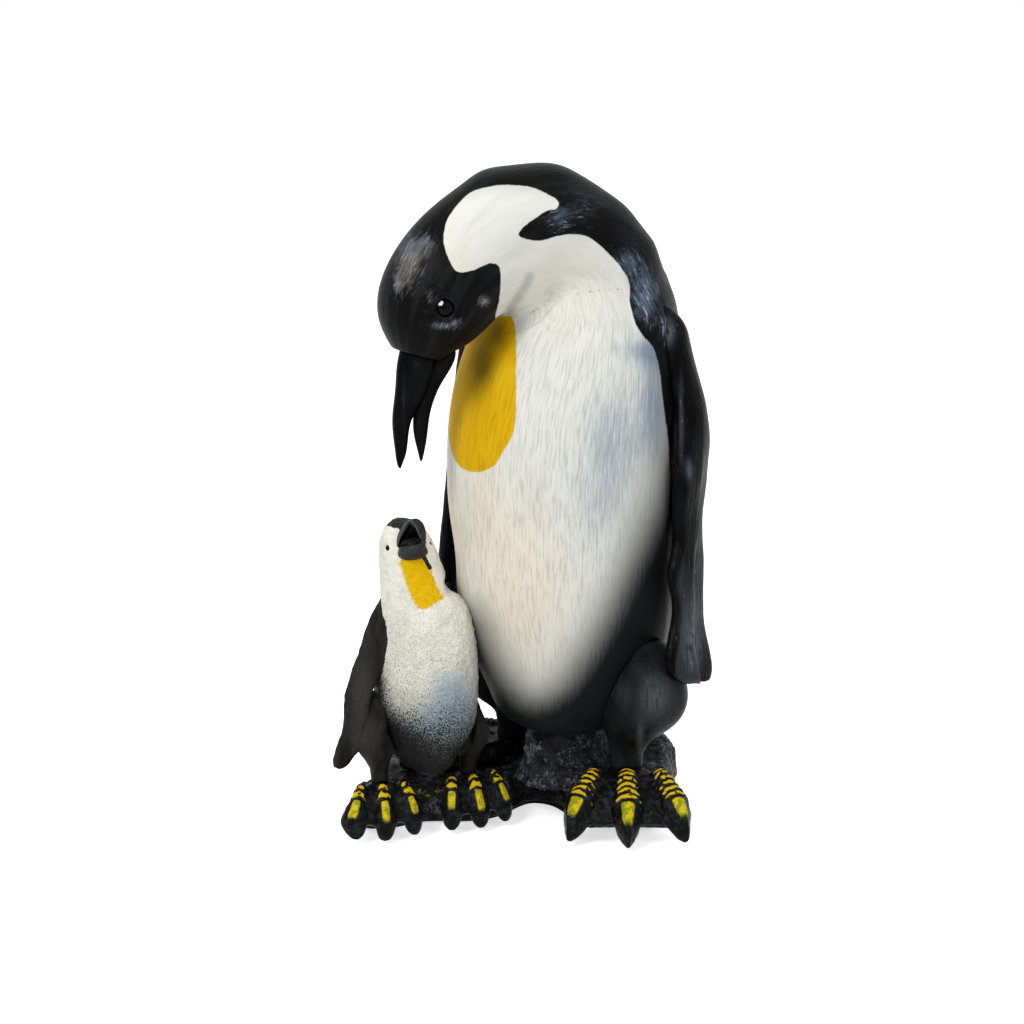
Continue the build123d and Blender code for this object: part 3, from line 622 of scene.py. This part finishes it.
def halves(whole, names):
    """Cuts the skin where the neck's root meets the torso.

    Each half is closed and keeps the whole's normals.
    """
    places = read(whole.data)
    in_head = distance_to(places, "adult_head") < distance_to(places, "adult_torso")
    made = []
    for wanted, name in zip((True, False), names):
        form = bmesh.new()
        form.from_mesh(whole.data)
        form.verts.ensure_lookup_table()
        away = [
            face
            for face in form.faces
            if (sum(in_head[corner.index] for corner in face.verts) * 2 >= len(face.verts)) != wanted
        ]
        bmesh.ops.delete(form, geom=away, context="FACES")
        outer_shell(form)
        bmesh.ops.holes_fill(form, edges=[line for line in form.edges if line.is_boundary], sides=0)
        bmesh.ops.triangulate(form, faces=[face for face in form.faces if len(face.verts) > 4])
        mesh = bpy.data.meshes.new(name)
        form.to_mesh(mesh)
        form.free()
        piece = show(name, mesh)
        settle(
            piece,
            "DATA_TRANSFER",
            object=whole,
            use_loop_data=True,
            data_types_loops={"CUSTOM_NORMAL"},
            loop_mapping="POLYINTERP_NEAREST",
        )
        made.append(piece)
    return made


adult_head, adult_torso = halves(body, ("adult_head_casting", "adult_torso_casting"))
bpy.data.objects.remove(body)

# The mirror plane turns from the body's to the neck's between these heights
neck_root = 225 * mm
neck_top = 258 * mm
for piece, outline, reach in ((adult_head, head_white, None), (adult_torso, belly_white, spine_in_torso)):
    low = Lit(piece.data, adult_axis, adult_left)
    high = Lit(piece.data, neck_axis, neck_left)
    rise = 1.0 if piece == adult_head else eased(low.points[:, 2], neck_root, neck_top)
    patches = {"white": (outline, -10.0), "yellow": (chest_yellow, -10.0), "belly_shade": (lit_belly, -20.0)}
    for name, (line, unseen) in patches.items():
        values = low.patch(line, unseen) * (1 - rise) + high.patch(line, unseen) * rise
        if name == "yellow" and piece == adult_head:
            values = np.full(len(values), unseen)
        keep(piece.data, name, values)
    for name, spots in washes.items():
        keep(piece.data, name, low.spots(spots) * (1 - rise) + high.spots(spots) * rise)
    keep(piece.data, "crease_shade", low.stroke(crease_line, 5.0))
    # The chisel strokes fade from the chest, 330 pixels down the photograph, to the neck
    keep(piece.data, "chisel", eased(photo_places(low.points)[:, 1], 240, 330) * 0.85 + 0.15)
    keep(piece.data, "lay", lay_along(low.points, spine, across_spine, 40 * mm, reach))
finish_piece(adult_head, body_paint, ["adult_head"])
finish_piece(adult_torso, body_paint, ["adult_torso"])

# Black and grey castings


def dark_paint(name, colours, painted_sheen, glint_fleck, mark_size, roughness, grain, depth):
    """Black or dark grey acrylic under varnish, with painted sheen and glints: glazed paler at given spots,
    between dark brush marks, with pale flecks.
    """
    paint, tree = new_paint(name)
    places = add(tree, "ShaderNodeTexCoord", (), "Object")
    painted_glint_share = add(tree, "ShaderNodeAttribute", (), "Fac", attribute_name="painted_glint")
    broad = strokes(tree, places, (9, 9, 22))
    marks = strokes(tree, places, mark_size, 4.0, 0.7)
    colour = brush_over(tree, linear(colours[0]), linear(colours[1]), broad, 0.38, 0.68)
    # Painted sheen and glints, where the spots give them
    colour = brush_over(tree, colour, linear(painted_sheen), painted_glint_share, 0.1, 1.1, 0.8)
    colour = brush_over(tree, colour, linear(colours[1]), marks, 0.5, 0.36, painted_glint_share)
    colour = brush_over(tree, colour, linear(glint_fleck), marks, 0.6, 0.72, painted_glint_share)
    varnish(tree, colour, roughness, 0.025, strokes(tree, places, grain), depth)
    return paint


# Black under gloss varnish: long painted glints along the brush ridges of the flippers and the tail
gloss_black = dark_paint(
    "gloss_black_varnished_paint", ("#070708", "#141517"), painted_sheen="#5e666f", glint_fleck="#9aa1a9",
    mark_size=(1.3, 1.3, 6), roughness=0.3, grain=(1.5, 1.5, 9), depth=0.4,
)  # fmt: skip
# Satin grey brushed thinly over black: the soft pewter look of the adult's thighs, with painted sheen across
# them
satin_grey = dark_paint(
    "satin_grey_brushed_paint", ("#0f1011", "#202123"), painted_sheen="#5b6060", glint_fleck="#6d7272",
    mark_size=(1.0, 1.0, 12), roughness=0.36, grain=(1.1, 1.1, 9), depth=0.3,
)  # fmt: skip
# Warm dark grey stippled on with a stiff brush: the dull, pebbled down of the chick's limbs, with painted
# sheen on them
stippled_grey = dark_paint(
    "stippled_dark_grey_paint", ("#171614", "#2c2a27"), painted_sheen="#4d4b47", glint_fleck="#5f5d58",
    mark_size=(0.9, 0.9, 0.9), roughness=0.45, grain=(1.1, 1.1, 1.1), depth=0.5,
)  # fmt: skip
# Black flowed on in a full coat: the smooth, horny shine of the adult's beak
beak_black = dark_paint(
    "smooth_black_beak_paint", ("#060607", "#101113"), painted_sheen="#4a4d52", glint_fleck="#7a7e84",
    mark_size=(1, 1, 8), roughness=0.24, grain=(2, 2, 14), depth=0.12,
)  # fmt: skip


def dark_casting(
    node, paint, voxel, sanding, slot, axis, side, painted_glint_spots=(), lump=(18, 0.5), pulls=(), paired=True
):
    """A skin over one dark casting, pulled to its outline, a little lumpy, with painted glints at spots and a
    faint one all over.
    """
    piece = cast(node + "_casting", [node], voxel, sanding)
    reshape(piece.data, Lit(piece.data, axis, side).pull(pulls, paired))
    seen = Lit(piece.data, axis, side)
    # A faint painted sheen all over, and painted glints at the spots
    keep(piece.data, "painted_glint", soft_spots(seen.far, painted_glint_spots) + 0.05)
    reshape(piece.data, seen.points + seen.normals * lumps(seen.points, *lump)[:, None])
    finish_piece(piece, paint, [node])


# Material slot, and the mirror plane with the side that the photograph shows: the adult's left, but the
# chick's right
adult_place = ("black_paint", adult_axis, adult_left)
chick_place = ("grey_paint", chick_axis, -chick_left)
beak_place = ("black_paint", neck_axis, neck_left)
# Painted glints and sheen on the dark castings, as soft spots
flipper_painted_glints = [
    (668, 332, 8, 16, 0.8), (681, 420, 3, 50, 0.5), (689, 470, 4, 12, 0.8), (700, 560, 4, 60, 0.3),
    (692, 640, 12, 46, 0.85),
]  # fmt: skip
flipper_pulls = [(702, 664, 20, 25, 5, 12), (704, 580, 8, 40, 2, 0), (684, 322, 10, 26, 4, 0)]
thigh_painted_glints = [(656, 698, 22, 30, 0.7), (640, 738, 4, 14, 0.7), (620, 690, 8, 16, 0.3)]
gap_pulls = [(484, 700, 12, 28, 10, 3)]
chick_flipper_painted_glints = [(362, 700, 16, 60, 0.7)]
chick_flipper_pulls = [
    (372, 668, 10, 22, 5, 0), (364, 712, 10, 24, 10, 0), (354, 746, 8, 16, 7, 0), (380, 600, 9, 9, 2, -6),
    (348, 690, 8, 26, -5, 0), (336, 770, 8, 8, 0, -3),
]  # fmt: skip
chick_thigh_painted_glints = [(365, 735, 16, 30, 0.5)]
chick_thigh_pulls = [(374, 704, 20, 18, -4, -16), (360, 735, 8, 24, -4, 2), (398, 735, 12, 34, -10, 0)]
for bird_side in ("left", "right"):
    dark_casting(
        f"adult_{bird_side}_flipper", gloss_black, 0.7, 8, *adult_place, flipper_painted_glints,
        lump=(16, 0.6), pulls=flipper_pulls,
    )  # fmt: skip
    dark_casting(
        f"adult_{bird_side}_thigh", satin_grey, 0.8, 4, *adult_place, thigh_painted_glints,
        pulls=gap_pulls, paired=False,
    )  # fmt: skip
    dark_casting(
        f"chick_{bird_side}_flipper", stippled_grey, 0.5, 4, *chick_place, chick_flipper_painted_glints,
        lump=(3, 0.3), pulls=chick_flipper_pulls,
    )  # fmt: skip
    dark_casting(
        f"chick_{bird_side}_thigh", stippled_grey, 0.5, 5, *chick_place, chick_thigh_painted_glints,
        lump=(3, 0.4), pulls=chick_thigh_pulls,
    )  # fmt: skip
# Painted glints on the adult's tail, and a painted highlight down the upper beak
dark_casting("adult_tail", gloss_black, 0.7, 4, *adult_place, [(668, 750, 10, 20, 0.8)], (4, 0.5))
dark_casting("chick_tail", stippled_grey, 0.5, 3, *chick_place)
dark_casting("adult_upper_beak", beak_black, 0.45, 3, *beak_place, [(404, 400, 2, 40, 0.3)], (12, 0.2))
dark_casting("adult_lower_beak", beak_black, 0.45, 3, *beak_place, (), (12, 0.2))

# Chick's beak: satin black with a grey line along the upper beak's rim, and a hollow mouth between the
# halves, painted near-black as shade
chick_beak_paint, tree = new_paint("satin_black_beak_paint")
places = add(tree, "ShaderNodeTexCoord", (), "Object")
mouth_shade = add(tree, "ShaderNodeAttribute", (), "Fac", attribute_name="mouth_shade")
lip = add(tree, "ShaderNodeAttribute", (), "Fac", attribute_name="lip")
grain = strokes(tree, places, (0.8, 0.8, 0.8))
colour = brush_over(tree, linear("#2a2b2c"), linear("#3c3e40"), grain, 0.4, 0.65)
# Painted shade inside the open mouth
colour = brush_over(tree, colour, linear("#030303"), mouth_shade, -0.4, 0.4)
colour = brush_over(tree, colour, linear("#6a6c6e"), lip, 0.4, 1.0, 0.6)
varnish(tree, colour, 0.42, 0.05, grain, 0.15)

mouth_line = np.array(
    [(409, 523), (402, 535), (397.5, 543), (398, 547), (409, 546), (421, 543), (421, 539), (416, 529)], float
)
mouth_depth = 2.2 * mm
lip_line = rounded([(397, 545), (401, 533), (408, 521), (415, 525), (421, 539)], closed=False)
beak_pulls = {
    "chick_upper_beak": [(397, 543, 4, 5, 0, 4), (422, 540, 4, 5, 0, 4)],
    "chick_lower_beak": [(400, 547, 6, 5, -1, -5), (411, 547, 8, 4, 0, -3), (421, 545, 6, 5, 1, -5)],
}
for node in beak_pulls:
    piece = cast(node + "_casting", [node], 0.3, 2)
    reshape(piece.data, Lit(piece.data, chick_axis, chick_left).pull(beak_pulls[node], mirrored=False))
    seen = Lit(piece.data, chick_axis, chick_left)
    inside = seen.patch(mouth_line)
    keep(piece.data, "mouth_shade", inside)
    keep(piece.data, "lip", seen.stroke(lip_line, 1.1) * (node == "chick_upper_beak"))
    sunk = eased(inside, -0.2, 2.0) * mouth_depth
    reshape(piece.data, seen.points + seen.normals * (lumps(seen.points, 6, 0.1) - sunk)[:, None])
    finish_piece(piece, chick_beak_paint, [node])

# Chick's body

chick_yellow = rounded(
    [(400.2, 561.6), (403.3, 557.8), (418.6, 556.3), (426.2, 561.6), (432.3, 573.9), (436, 583), (443.8, 596),
    (441.5, 599.9), (430, 606.8), (424.7, 609), (418.6, 608.3), (410.9, 596.8), (406.3, 583.8), (401.7, 570)]
)  # fmt: skip
chick_crown = rounded(
    [(383, 522), (392, 527.5), (399, 529), (400, 536), (397, 546), (410, 549), (421, 548), (425.5, 545),
    (425, 536), (423, 528), (432, 512), (420, 500), (390, 505)]
)  # fmt: skip
cheek_line = rounded([(420, 551), (424.5, 558), (430, 568)], closed=False)

chick_body = cast("chick_body_casting", ["chick_body"], 0.6, 4)
flank_pulls = [
    (382, 675, 9, 34, -7, 0), (384, 730, 10, 34, -12, 0), (394, 764, 16, 16, -9, 0),
    (457, 582, 9, 15, -10, 2), (464, 752, 10, 22, -5, 0),
]  # fmt: skip
reshape(chick_body.data, Lit(chick_body.data, chick_axis, chick_left).pull(flank_pulls, mirrored=False))
seen = Lit(chick_body.data, chick_axis, chick_left)
points = seen.points
keep(chick_body.data, "yellow", seen.patch(chick_yellow))
keep(chick_body.data, "crown", np.maximum(seen.patch(chick_crown), seen.stroke(cheek_line, 2.6) * 3 - 1.6))
keep(chick_body.data, "behind", (points - chick_axis) @ chick_back / mm)
# Blue-grey low on the chick's right side, next to the adult
keep(chick_body.data, "blue_grey_side", seen.spots([(452, 706, 24, 36, 1.0), (425, 725, 40, 16, 0.5)]))
# Darker and more speckled low on the chick's left flank, beside its flipper
keep(chick_body.data, "darker_flank", seen.spots([(368, 700, 15, 70, 1.0), (380, 745, 34, 24, 0.5)]))
sockets = np.zeros(len(points))
for node_name in ("chick_left_eye", "chick_right_eye"):
    away = np.linalg.norm(points - np.array(middle_of(node_name)), axis=1) / mm
    sockets = np.maximum(sockets, eased(away, 2.5, 1.3))
fleece = -mm * sockets + lumps(points, 14, 0.4) + lumps(points, 1.8, 0.3, 3) + lumps(points, 3.5, 0.4, 7)
reshape(chick_body.data, points + seen.normals * fleece[:, None])

# Stippled acrylic over a pebbled casting: white down, speckled dark in its pits, blue-grey towards the seat
chick_paint, tree = new_paint("stippled_down_paint")
places = add(tree, "ShaderNodeTexCoord", (), "Object")
layer = {
    name: add(tree, "ShaderNodeAttribute", (), "Fac", attribute_name=name)
    for name in ("yellow", "crown", "behind", "blue_grey_side", "darker_flank")
}
up = add(tree, "ShaderNodeSeparateXYZ", {0: places}, "Z")
specks = strokes(tree, places, (0.6, 0.6, 0.6), 2.0, 0.6)
pebbles = strokes(tree, places, (1.3, 1.3, 1.3), 2.0, 0.5)
broad = strokes(tree, places, (8, 8, 12))
raised = add(tree, "ShaderNodeMath", {0: layer["darker_flank"], 1: -60 * mm, 2: up}, operation="MULTIPLY_ADD")
level = shifted(tree, broad, 0.5, 12 * mm, raised)
speckled = shifted(tree, specks, 0.5, 110 * mm, level)
down = brush_over(tree, linear("#eeede2"), linear("#dbdacb"), broad, 0.35, 0.7)
low_share = {"Value": level, "From Min": 122 * mm, "From Max": 60 * mm, "To Min": 0.15, "To Max": 1.0}
dirt_share = add(tree, "ShaderNodeMapRange", low_share)
down = brush_over(tree, down, linear("#45463f"), specks, 0.54, 0.64, dirt_share)
down = brush_over(tree, down, linear("#93a5b4"), layer["blue_grey_side"], 0.0, 1.0, 0.9)
down = brush_over(tree, down, linear("#6d7270"), speckled, 82 * mm, 48 * mm, 0.5)
down = brush_over(tree, down, linear("#141416"), speckled, 64 * mm, 44 * mm)
sunny = brush_over(tree, linear("#e2b400"), linear("#cfa000"), pebbles, 0.5, 0.7, 0.7)
colour = brush_over(tree, down, sunny, shifted(tree, pebbles, 0.5, 3.0, layer["yellow"]), -0.7, 0.7)
on_crown = shifted(tree, pebbles, 0.5, 1.2, layer["crown"])
colour = brush_over(tree, colour, linear("#232324"), on_crown, -0.3, 0.3)
on_back = shifted(tree, pebbles, 0.5, 2.0, layer["behind"])
colour = brush_over(tree, colour, linear("#232221"), on_back, 5.0, 7.0)
varnish(tree, colour, 0.55, 0.08, pebbles, 0.45)
finish_piece(chick_body, chick_paint, ["chick_body"])

# Feet: rings and claws are pressed into the toes, whose ridges are picked out in yellow

# Shares of a toe's length: where its swells are given, where the claw starts and how long an outer toe is
swell_places = (-0.1, 0.3, 0.62, 0.75, 0.9, 1.05)
claw_root = (0.64, 0.7)
outer_toe = 0.86
# A depth that hands back the noise of lumps() as it is
bare_noise = 1000.0


def foot_casting(
    node, ankle, facing, bare, toe_length, toe_half_width, root_side, root_ahead, spread, voxel, rings,
    swells, claw_half_width, claw_end, pulls=()
):  # fmt: skip
    """A skin over one foot. Its toes start beside the ankle and spread ahead of it.

    Lengths are in millimetres, angles in degrees, and half widths of claws in those of the toe. The toes are
    bare of yellow up to a share of their length.
    """
    piece = cast(node + "_casting", [node], voxel, 3)
    points, normals = read(piece.data), read(piece.data, "normal")
    turn = math.radians(facing)
    ahead = np.array((-math.sin(turn), -math.cos(turn), 0))
    aside = np.array((math.cos(turn), -math.sin(turn), 0))
    local = np.column_stack(((points - ankle) @ aside, (points - ankle) @ ahead, points[:, 2])) / mm
    heights = lumps(points, 3.0, 0.05 * toe_half_width, 2) / mm
    moved = np.zeros_like(points)
    band = np.zeros(len(points))
    claw = np.zeros(len(points))
    wander = lumps(points, 2.5, bare_noise, 6)
    missed = eased(lumps(points, 1.7, bare_noise, 9), -0.45, -0.1)
    for step in (-1, 0, 1):
        fan = math.radians(step * spread)
        way = np.array((math.sin(fan), math.cos(fan)))
        cross = np.array((way[1], -way[0]))
        flat = local[:, :2] - (step * root_side, root_ahead)
        along = flat @ way / (toe_length * (1 if step == 0 else outer_toe))
        offset = flat @ cross / toe_half_width
        across = np.abs(offset)
        near = eased(across, 1.7, 0.9)
        swell = np.interp(along, swell_places, swells)
        push = near * offset * (swell - 1) * toe_half_width * mm
        moved += push[:, None] * (cross[0] * aside + cross[1] * ahead)
        on_toe = eased(across, 1.3, 0.85) * eased(normals[:, 2] + 0.6 * across, -0.2, 0.3)
        ring = 0.5 + 0.5 * np.sin(2 * math.pi * (along * rings + 0.25 * wander))
        scaly = on_toe * eased(along, -0.1, 0.05) * eased(along, 0.7, 0.62)
        heights += scaly * ((ring - 0.5) * 0.11 + (swell - 0.9) * 0.35) * toe_half_width
        narrow = eased(across + 0.4 * wander, 0.95, 0.4) * eased(along, bare, bare + 0.08)
        band = np.maximum(band, scaly * narrow * ring * missed)
        nail = on_toe * eased(along, *claw_root)
        heights += nail * (0.12 - 0.24 * across) * toe_half_width
        nail_width = eased(across, claw_half_width, 0.4 * claw_half_width)
        nail_length = eased(along, claw_end, claw_end - 0.16)
        claw = np.maximum(claw, nail * nail_width * nail_length)
    moved += pulls_at(photo_places(points), pulls)
    reshape(piece.data, points + moved + normals * (heights * mm)[:, None])
    keep(piece.data, "band", band)
    keep(piece.data, "claw", claw)
    finish_piece(piece, foot_paint, [node])


# Gloss black enamel, its scutes and claws brushed with yellow that misses the grooves
foot_paint, tree = new_paint("black_enamel_with_brushed_yellow")
places = add(tree, "ShaderNodeTexCoord", (), "Object")
band = add(tree, "ShaderNodeAttribute", (), "Fac", attribute_name="band")
claw = add(tree, "ShaderNodeAttribute", (), "Fac", attribute_name="claw")
dabs = strokes(tree, places, (0.8, 0.8, 0.8))
broad = strokes(tree, places, (3, 3, 3))
banded = add(tree, "ShaderNodeMath", {0: band, 1: dabs}, operation="MULTIPLY")
clawed = add(tree, "ShaderNodeMath", {0: claw, 1: dabs}, operation="MULTIPLY")
colour = brush_over(tree, linear("#0c0c0d"), linear("#26282b"), broad, 0.45, 0.7)
colour = brush_over(tree, colour, linear("#5a5f10"), banded, 0.1, 0.2, 0.9)
colour = brush_over(tree, colour, linear("#dcb412"), banded, 0.2, 0.34)
nail = brush_over(tree, linear("#8a9418"), linear("#d6bb16"), broad, 0.42, 0.58)
colour = brush_over(tree, colour, nail, clawed, 0.1, 0.36)
varnish(tree, colour, 0.22, 0.05, dabs, 0.3)

adult_foot = {
    "toe_length": 29, "toe_half_width": 5.6, "root_side": 14.5, "root_ahead": 9, "spread": 28, "voxel": 0.5,
    "rings": 9, "swells": (0.78, 0.98, 1.16, 1.1, 0.85, 0.5), "claw_half_width": 0.66, "claw_end": 1.0,
}  # fmt: skip
chick_foot = {
    "toe_length": 13, "toe_half_width": 3.7, "root_side": 9, "root_ahead": 3.5, "spread": 24, "voxel": 0.35,
    "rings": 4.5, "swells": (0.7, 0.85, 1.15, 1.35, 1.4, 1.4), "claw_half_width": 0.45, "claw_end": 1.1,
}  # fmt: skip
adult_ankle = adult_left * 33 * mm
chick_ankle = chick_left * 20.5 * mm
claw_pulls = [(348, 822, 10, 16, -6, 0), (378, 834, 9, 10, 0, 4)]
foot_casting("adult_left_foot", adult_axis + adult_ankle, 1, bare=-0.1, **adult_foot)
foot_casting("adult_right_foot", adult_axis - adult_ankle, 95, bare=0.4, **adult_foot)
foot_casting("chick_left_foot", chick_axis + chick_ankle, -24, bare=0.1, **chick_foot)
foot_casting("chick_right_foot", chick_axis - chick_ankle, -12, bare=0.1, pulls=claw_pulls, **chick_foot)

# Rock: broken up with noise, with grey on its high spots as painted highlights

rock = cast("base_rock_casting", ["base_rock"], 0.9, 3)
points, normals = read(rock.data), read(rock.data, "normal")
rough = lumps(points, 14, 1.2) + lumps(points, 5, 1.2, 5) + lumps(points, 2.0, 0.9, 9)
# The foot of the rock stays flat, where it is glued to the felt
rough *= eased(points[:, 2], 2.0 * mm, 4.0 * mm)
keep(rock.data, "high", rough / mm)
spilled = np.zeros(len(points))
spills = ((419, 791, 5, 3), (429, 796, 6, 4), (437, 790, 4, 4), (413, 805, 4, 4), (404, 798, 4, 3))
for u, v, wide, high in spills:
    off = (photo_places(points) - (u, v)) / (wide, high)
    spilled += np.exp(-np.sum(off * off, axis=1))
keep(rock.data, "spilled", spilled)
reshape(rock.data, points + normals * rough[:, None])

# Black enamel over rough-cast resin, with grey painted highlights on its high spots and a few drops of the
# feet's yellow
rock_paint, tree = new_paint("rough_black_rock_paint")
places = add(tree, "ShaderNodeTexCoord", (), "Object")
high_spots = add(tree, "ShaderNodeAttribute", (), "Fac", attribute_name="high")
grit = strokes(tree, places, (1.1, 1.1, 1.1), 4.0, 0.7)
cloudy = strokes(tree, places, (4, 4, 4))
colour = brush_over(tree, linear("#0c0c0e"), linear("#2a2b2e"), cloudy, 0.36, 0.66)
painted_highlights = shifted(tree, grit, 0.5, 7.0, high_spots)
colour = brush_over(tree, colour, linear("#80858c"), painted_highlights, 0.2, 1.5, 0.65)
drops = add(tree, "ShaderNodeAttribute", (), "Fac", attribute_name="spilled")
colour = brush_over(tree, colour, linear("#9a9a3a"), shifted(tree, grit, 0.5, 2.0, drops), 0.75, 1.0, 0.85)
varnish(tree, colour, 0.28, 0.05, grit, 0.8)
finish_piece(rock, rock_paint, ["base_rock"])

# What stays of the CAD: eyes, felt, plug and pins

# Black glass beads: a clean gloss, with a white dot painted on the adult's eyes as their highlight
bead, tree = new_paint("black_glass_eye_bead")
glint = add(tree, "ShaderNodeAttribute", (), "Fac", attribute_name="glint")
varnish(tree, brush_over(tree, linear("#030304"), linear("#e4e8ea"), glint, 0.1, 0.5), 0.08, 0.06)
glint_radius = 1.2 * mm
# Towards the camera, and up to its left
glint_way = Vector(-0.83 * sight - 0.39 * sight_right + 0.39 * sight_up)
glint_ways = {"adult_left_eye": glint_way, "adult_right_eye": glint_way.reflect(Vector(neck_left))}
for node_name, way in glint_ways.items():
    bead_points = read(nodes[node_name].data)
    middle = np.array(middle_of(node_name))
    radius = np.linalg.norm(bead_points - middle, axis=1).max()
    away = np.linalg.norm(bead_points - middle - np.array(way) * radius, axis=1)
    keep(nodes[node_name].data, "glint", (glint_radius - away) / mm + 0.3)
# Needle-punched polyester felt: matt, with fibres a few tenths of a millimetre wide
felt, tree = new_paint("black_needle_felt")
fibres = strokes(tree, add(tree, "ShaderNodeTexCoord", (), "Object"), (0.4, 0.4, 0.4), 4.0, 0.8)
colour = brush_over(tree, linear("#161616"), linear("#2b2b2b"), fibres, 0.3, 0.7)
varnish(tree, colour, 0.95, 0.1, fibres, 0.2)
# Uncoated polyresin: off-white and chalky
bare, tree = new_paint("bare_cast_polyresin")
cloudy = strokes(tree, add(tree, "ShaderNodeTexCoord", (), "Object"), (6, 6, 6))
varnish(tree, brush_over(tree, linear("#d8d2c2"), linear("#c8c0ac"), cloudy, 0.3, 0.7), 0.6, 0.5)
# Drawn steel wire with fine marks along it
steel, tree = new_paint("drawn_steel_pin")
drawn = strokes(tree, add(tree, "ShaderNodeTexCoord", (), "Object"), (0.3, 0.3, 6))
varnish(tree, brush_over(tree, linear("#a8aaad"), linear("#96989b"), drawn, 0.4, 0.6), 0.3, 0.5, Metallic=1.0)

for node_name, paint in (
    ("adult_left_eye", bead), ("adult_right_eye", bead), ("chick_left_eye", bead), ("chick_right_eye", bead),
    ("felt_pad", felt), ("torso_plug", bare), ("adult_leg_pins", steel), ("chick_leg_pins", steel),
    ("flipper_pins", steel), ("neck_pin", steel),
):  # fmt: skip
    nodes[node_name].material_slots[0].material = paint

# Studio: pale floor, plain world and soft lamps


def background_ray(tree):
    """1 for the rays that show the background: those of the camera, of gloss and of glass."""
    paths = add(tree, "ShaderNodeLightPath", (), "Is Camera Ray").node
    either = {0: paths.outputs["Is Camera Ray"], 1: paths.outputs["Is Glossy Ray"]}
    mirrored = add(tree, "ShaderNodeMath", either, operation="MAXIMUM")
    any_of_them = {0: mirrored, 1: paths.outputs["Is Transmission Ray"]}
    return add(tree, "ShaderNodeMath", any_of_them, operation="MAXIMUM")


floor_size = 8.0
floor_form = bmesh.new()
bmesh.ops.create_grid(floor_form, x_segments=1, y_segments=1, size=floor_size / 2)
floor_mesh = bpy.data.meshes.new("studio_floor")
floor_form.to_mesh(floor_mesh)
floor_form.free()
floor = show("studio_floor", floor_mesh)
# Matt paper, which the camera sees as white except where the ornament shades it
floor_paint, tree = new_paint("matt_white_paper_floor")
to_camera = background_ray(tree)
floor_glow = 0.62
greys = {0: to_camera, 6: linear("#cfcfcf"), 7: (1, 1, 1, 1)}
colour = add(tree, "ShaderNodeMix", greys, 2, data_type="RGBA")
glow = add(tree, "ShaderNodeMath", {0: to_camera, 1: floor_glow}, operation="MULTIPLY")
varnish(tree, colour, 0.9, 0.0, **{"Emission Color": (1, 1, 1, 1), "Emission Strength": glow})
floor_mesh.materials.append(floor_paint)

world_light = 0.62
world = bpy.data.worlds.new("studio_world")
bpy.context.scene.world = world
world.use_nodes = True
tree = world.node_tree
tree.nodes.clear()
strength = add(tree, "ShaderNodeMix", {0: background_ray(tree), 2: world_light, 3: 1.0}, data_type="FLOAT")
blue_grey_side = add(tree, "ShaderNodeBackground", {"Color": (1, 1, 1, 1), "Strength": strength})
add(tree, "ShaderNodeOutputWorld", {"Surface": blue_grey_side})


def softbox(name, place, size, watts, lights_matt=True, lights_gloss=True):
    """A square lamp that looks at the middle of the ornament."""
    data = bpy.data.lights.new(name, "AREA")
    data.size = size
    data.energy = watts
    lamp = bpy.data.objects.new(name, data)
    lamp.location = place
    lamp.rotation_euler = (Vector((0, 0, 0.15)) - Vector(place)).to_track_quat("-Z", "Y").to_euler()
    lamp.visible_diffuse = lights_matt
    lamp.visible_glossy = lights_gloss
    bpy.context.scene.collection.objects.link(lamp)


# The key light falls on paint and varnish alike. Fill and top light leave out the varnish, which they would
# smear over, and the two small spots only draw its glints.
softbox("key_softbox", (-0.7, -0.9, 1.1), 0.4, 9.0)
softbox("fill_softbox", (0.9, -0.8, 0.7), 0.5, 3.0, lights_gloss=False)
softbox("top_softbox", (0.1, 0.4, 1.3), 0.6, 4.0, lights_gloss=False)
softbox("glint_spot", (-0.5, -0.9, 0.95), 0.14, 9.0, lights_matt=False)
softbox("side_glint_spot", (0.9, -0.7, 0.9), 0.1, 1.6, lights_matt=False)
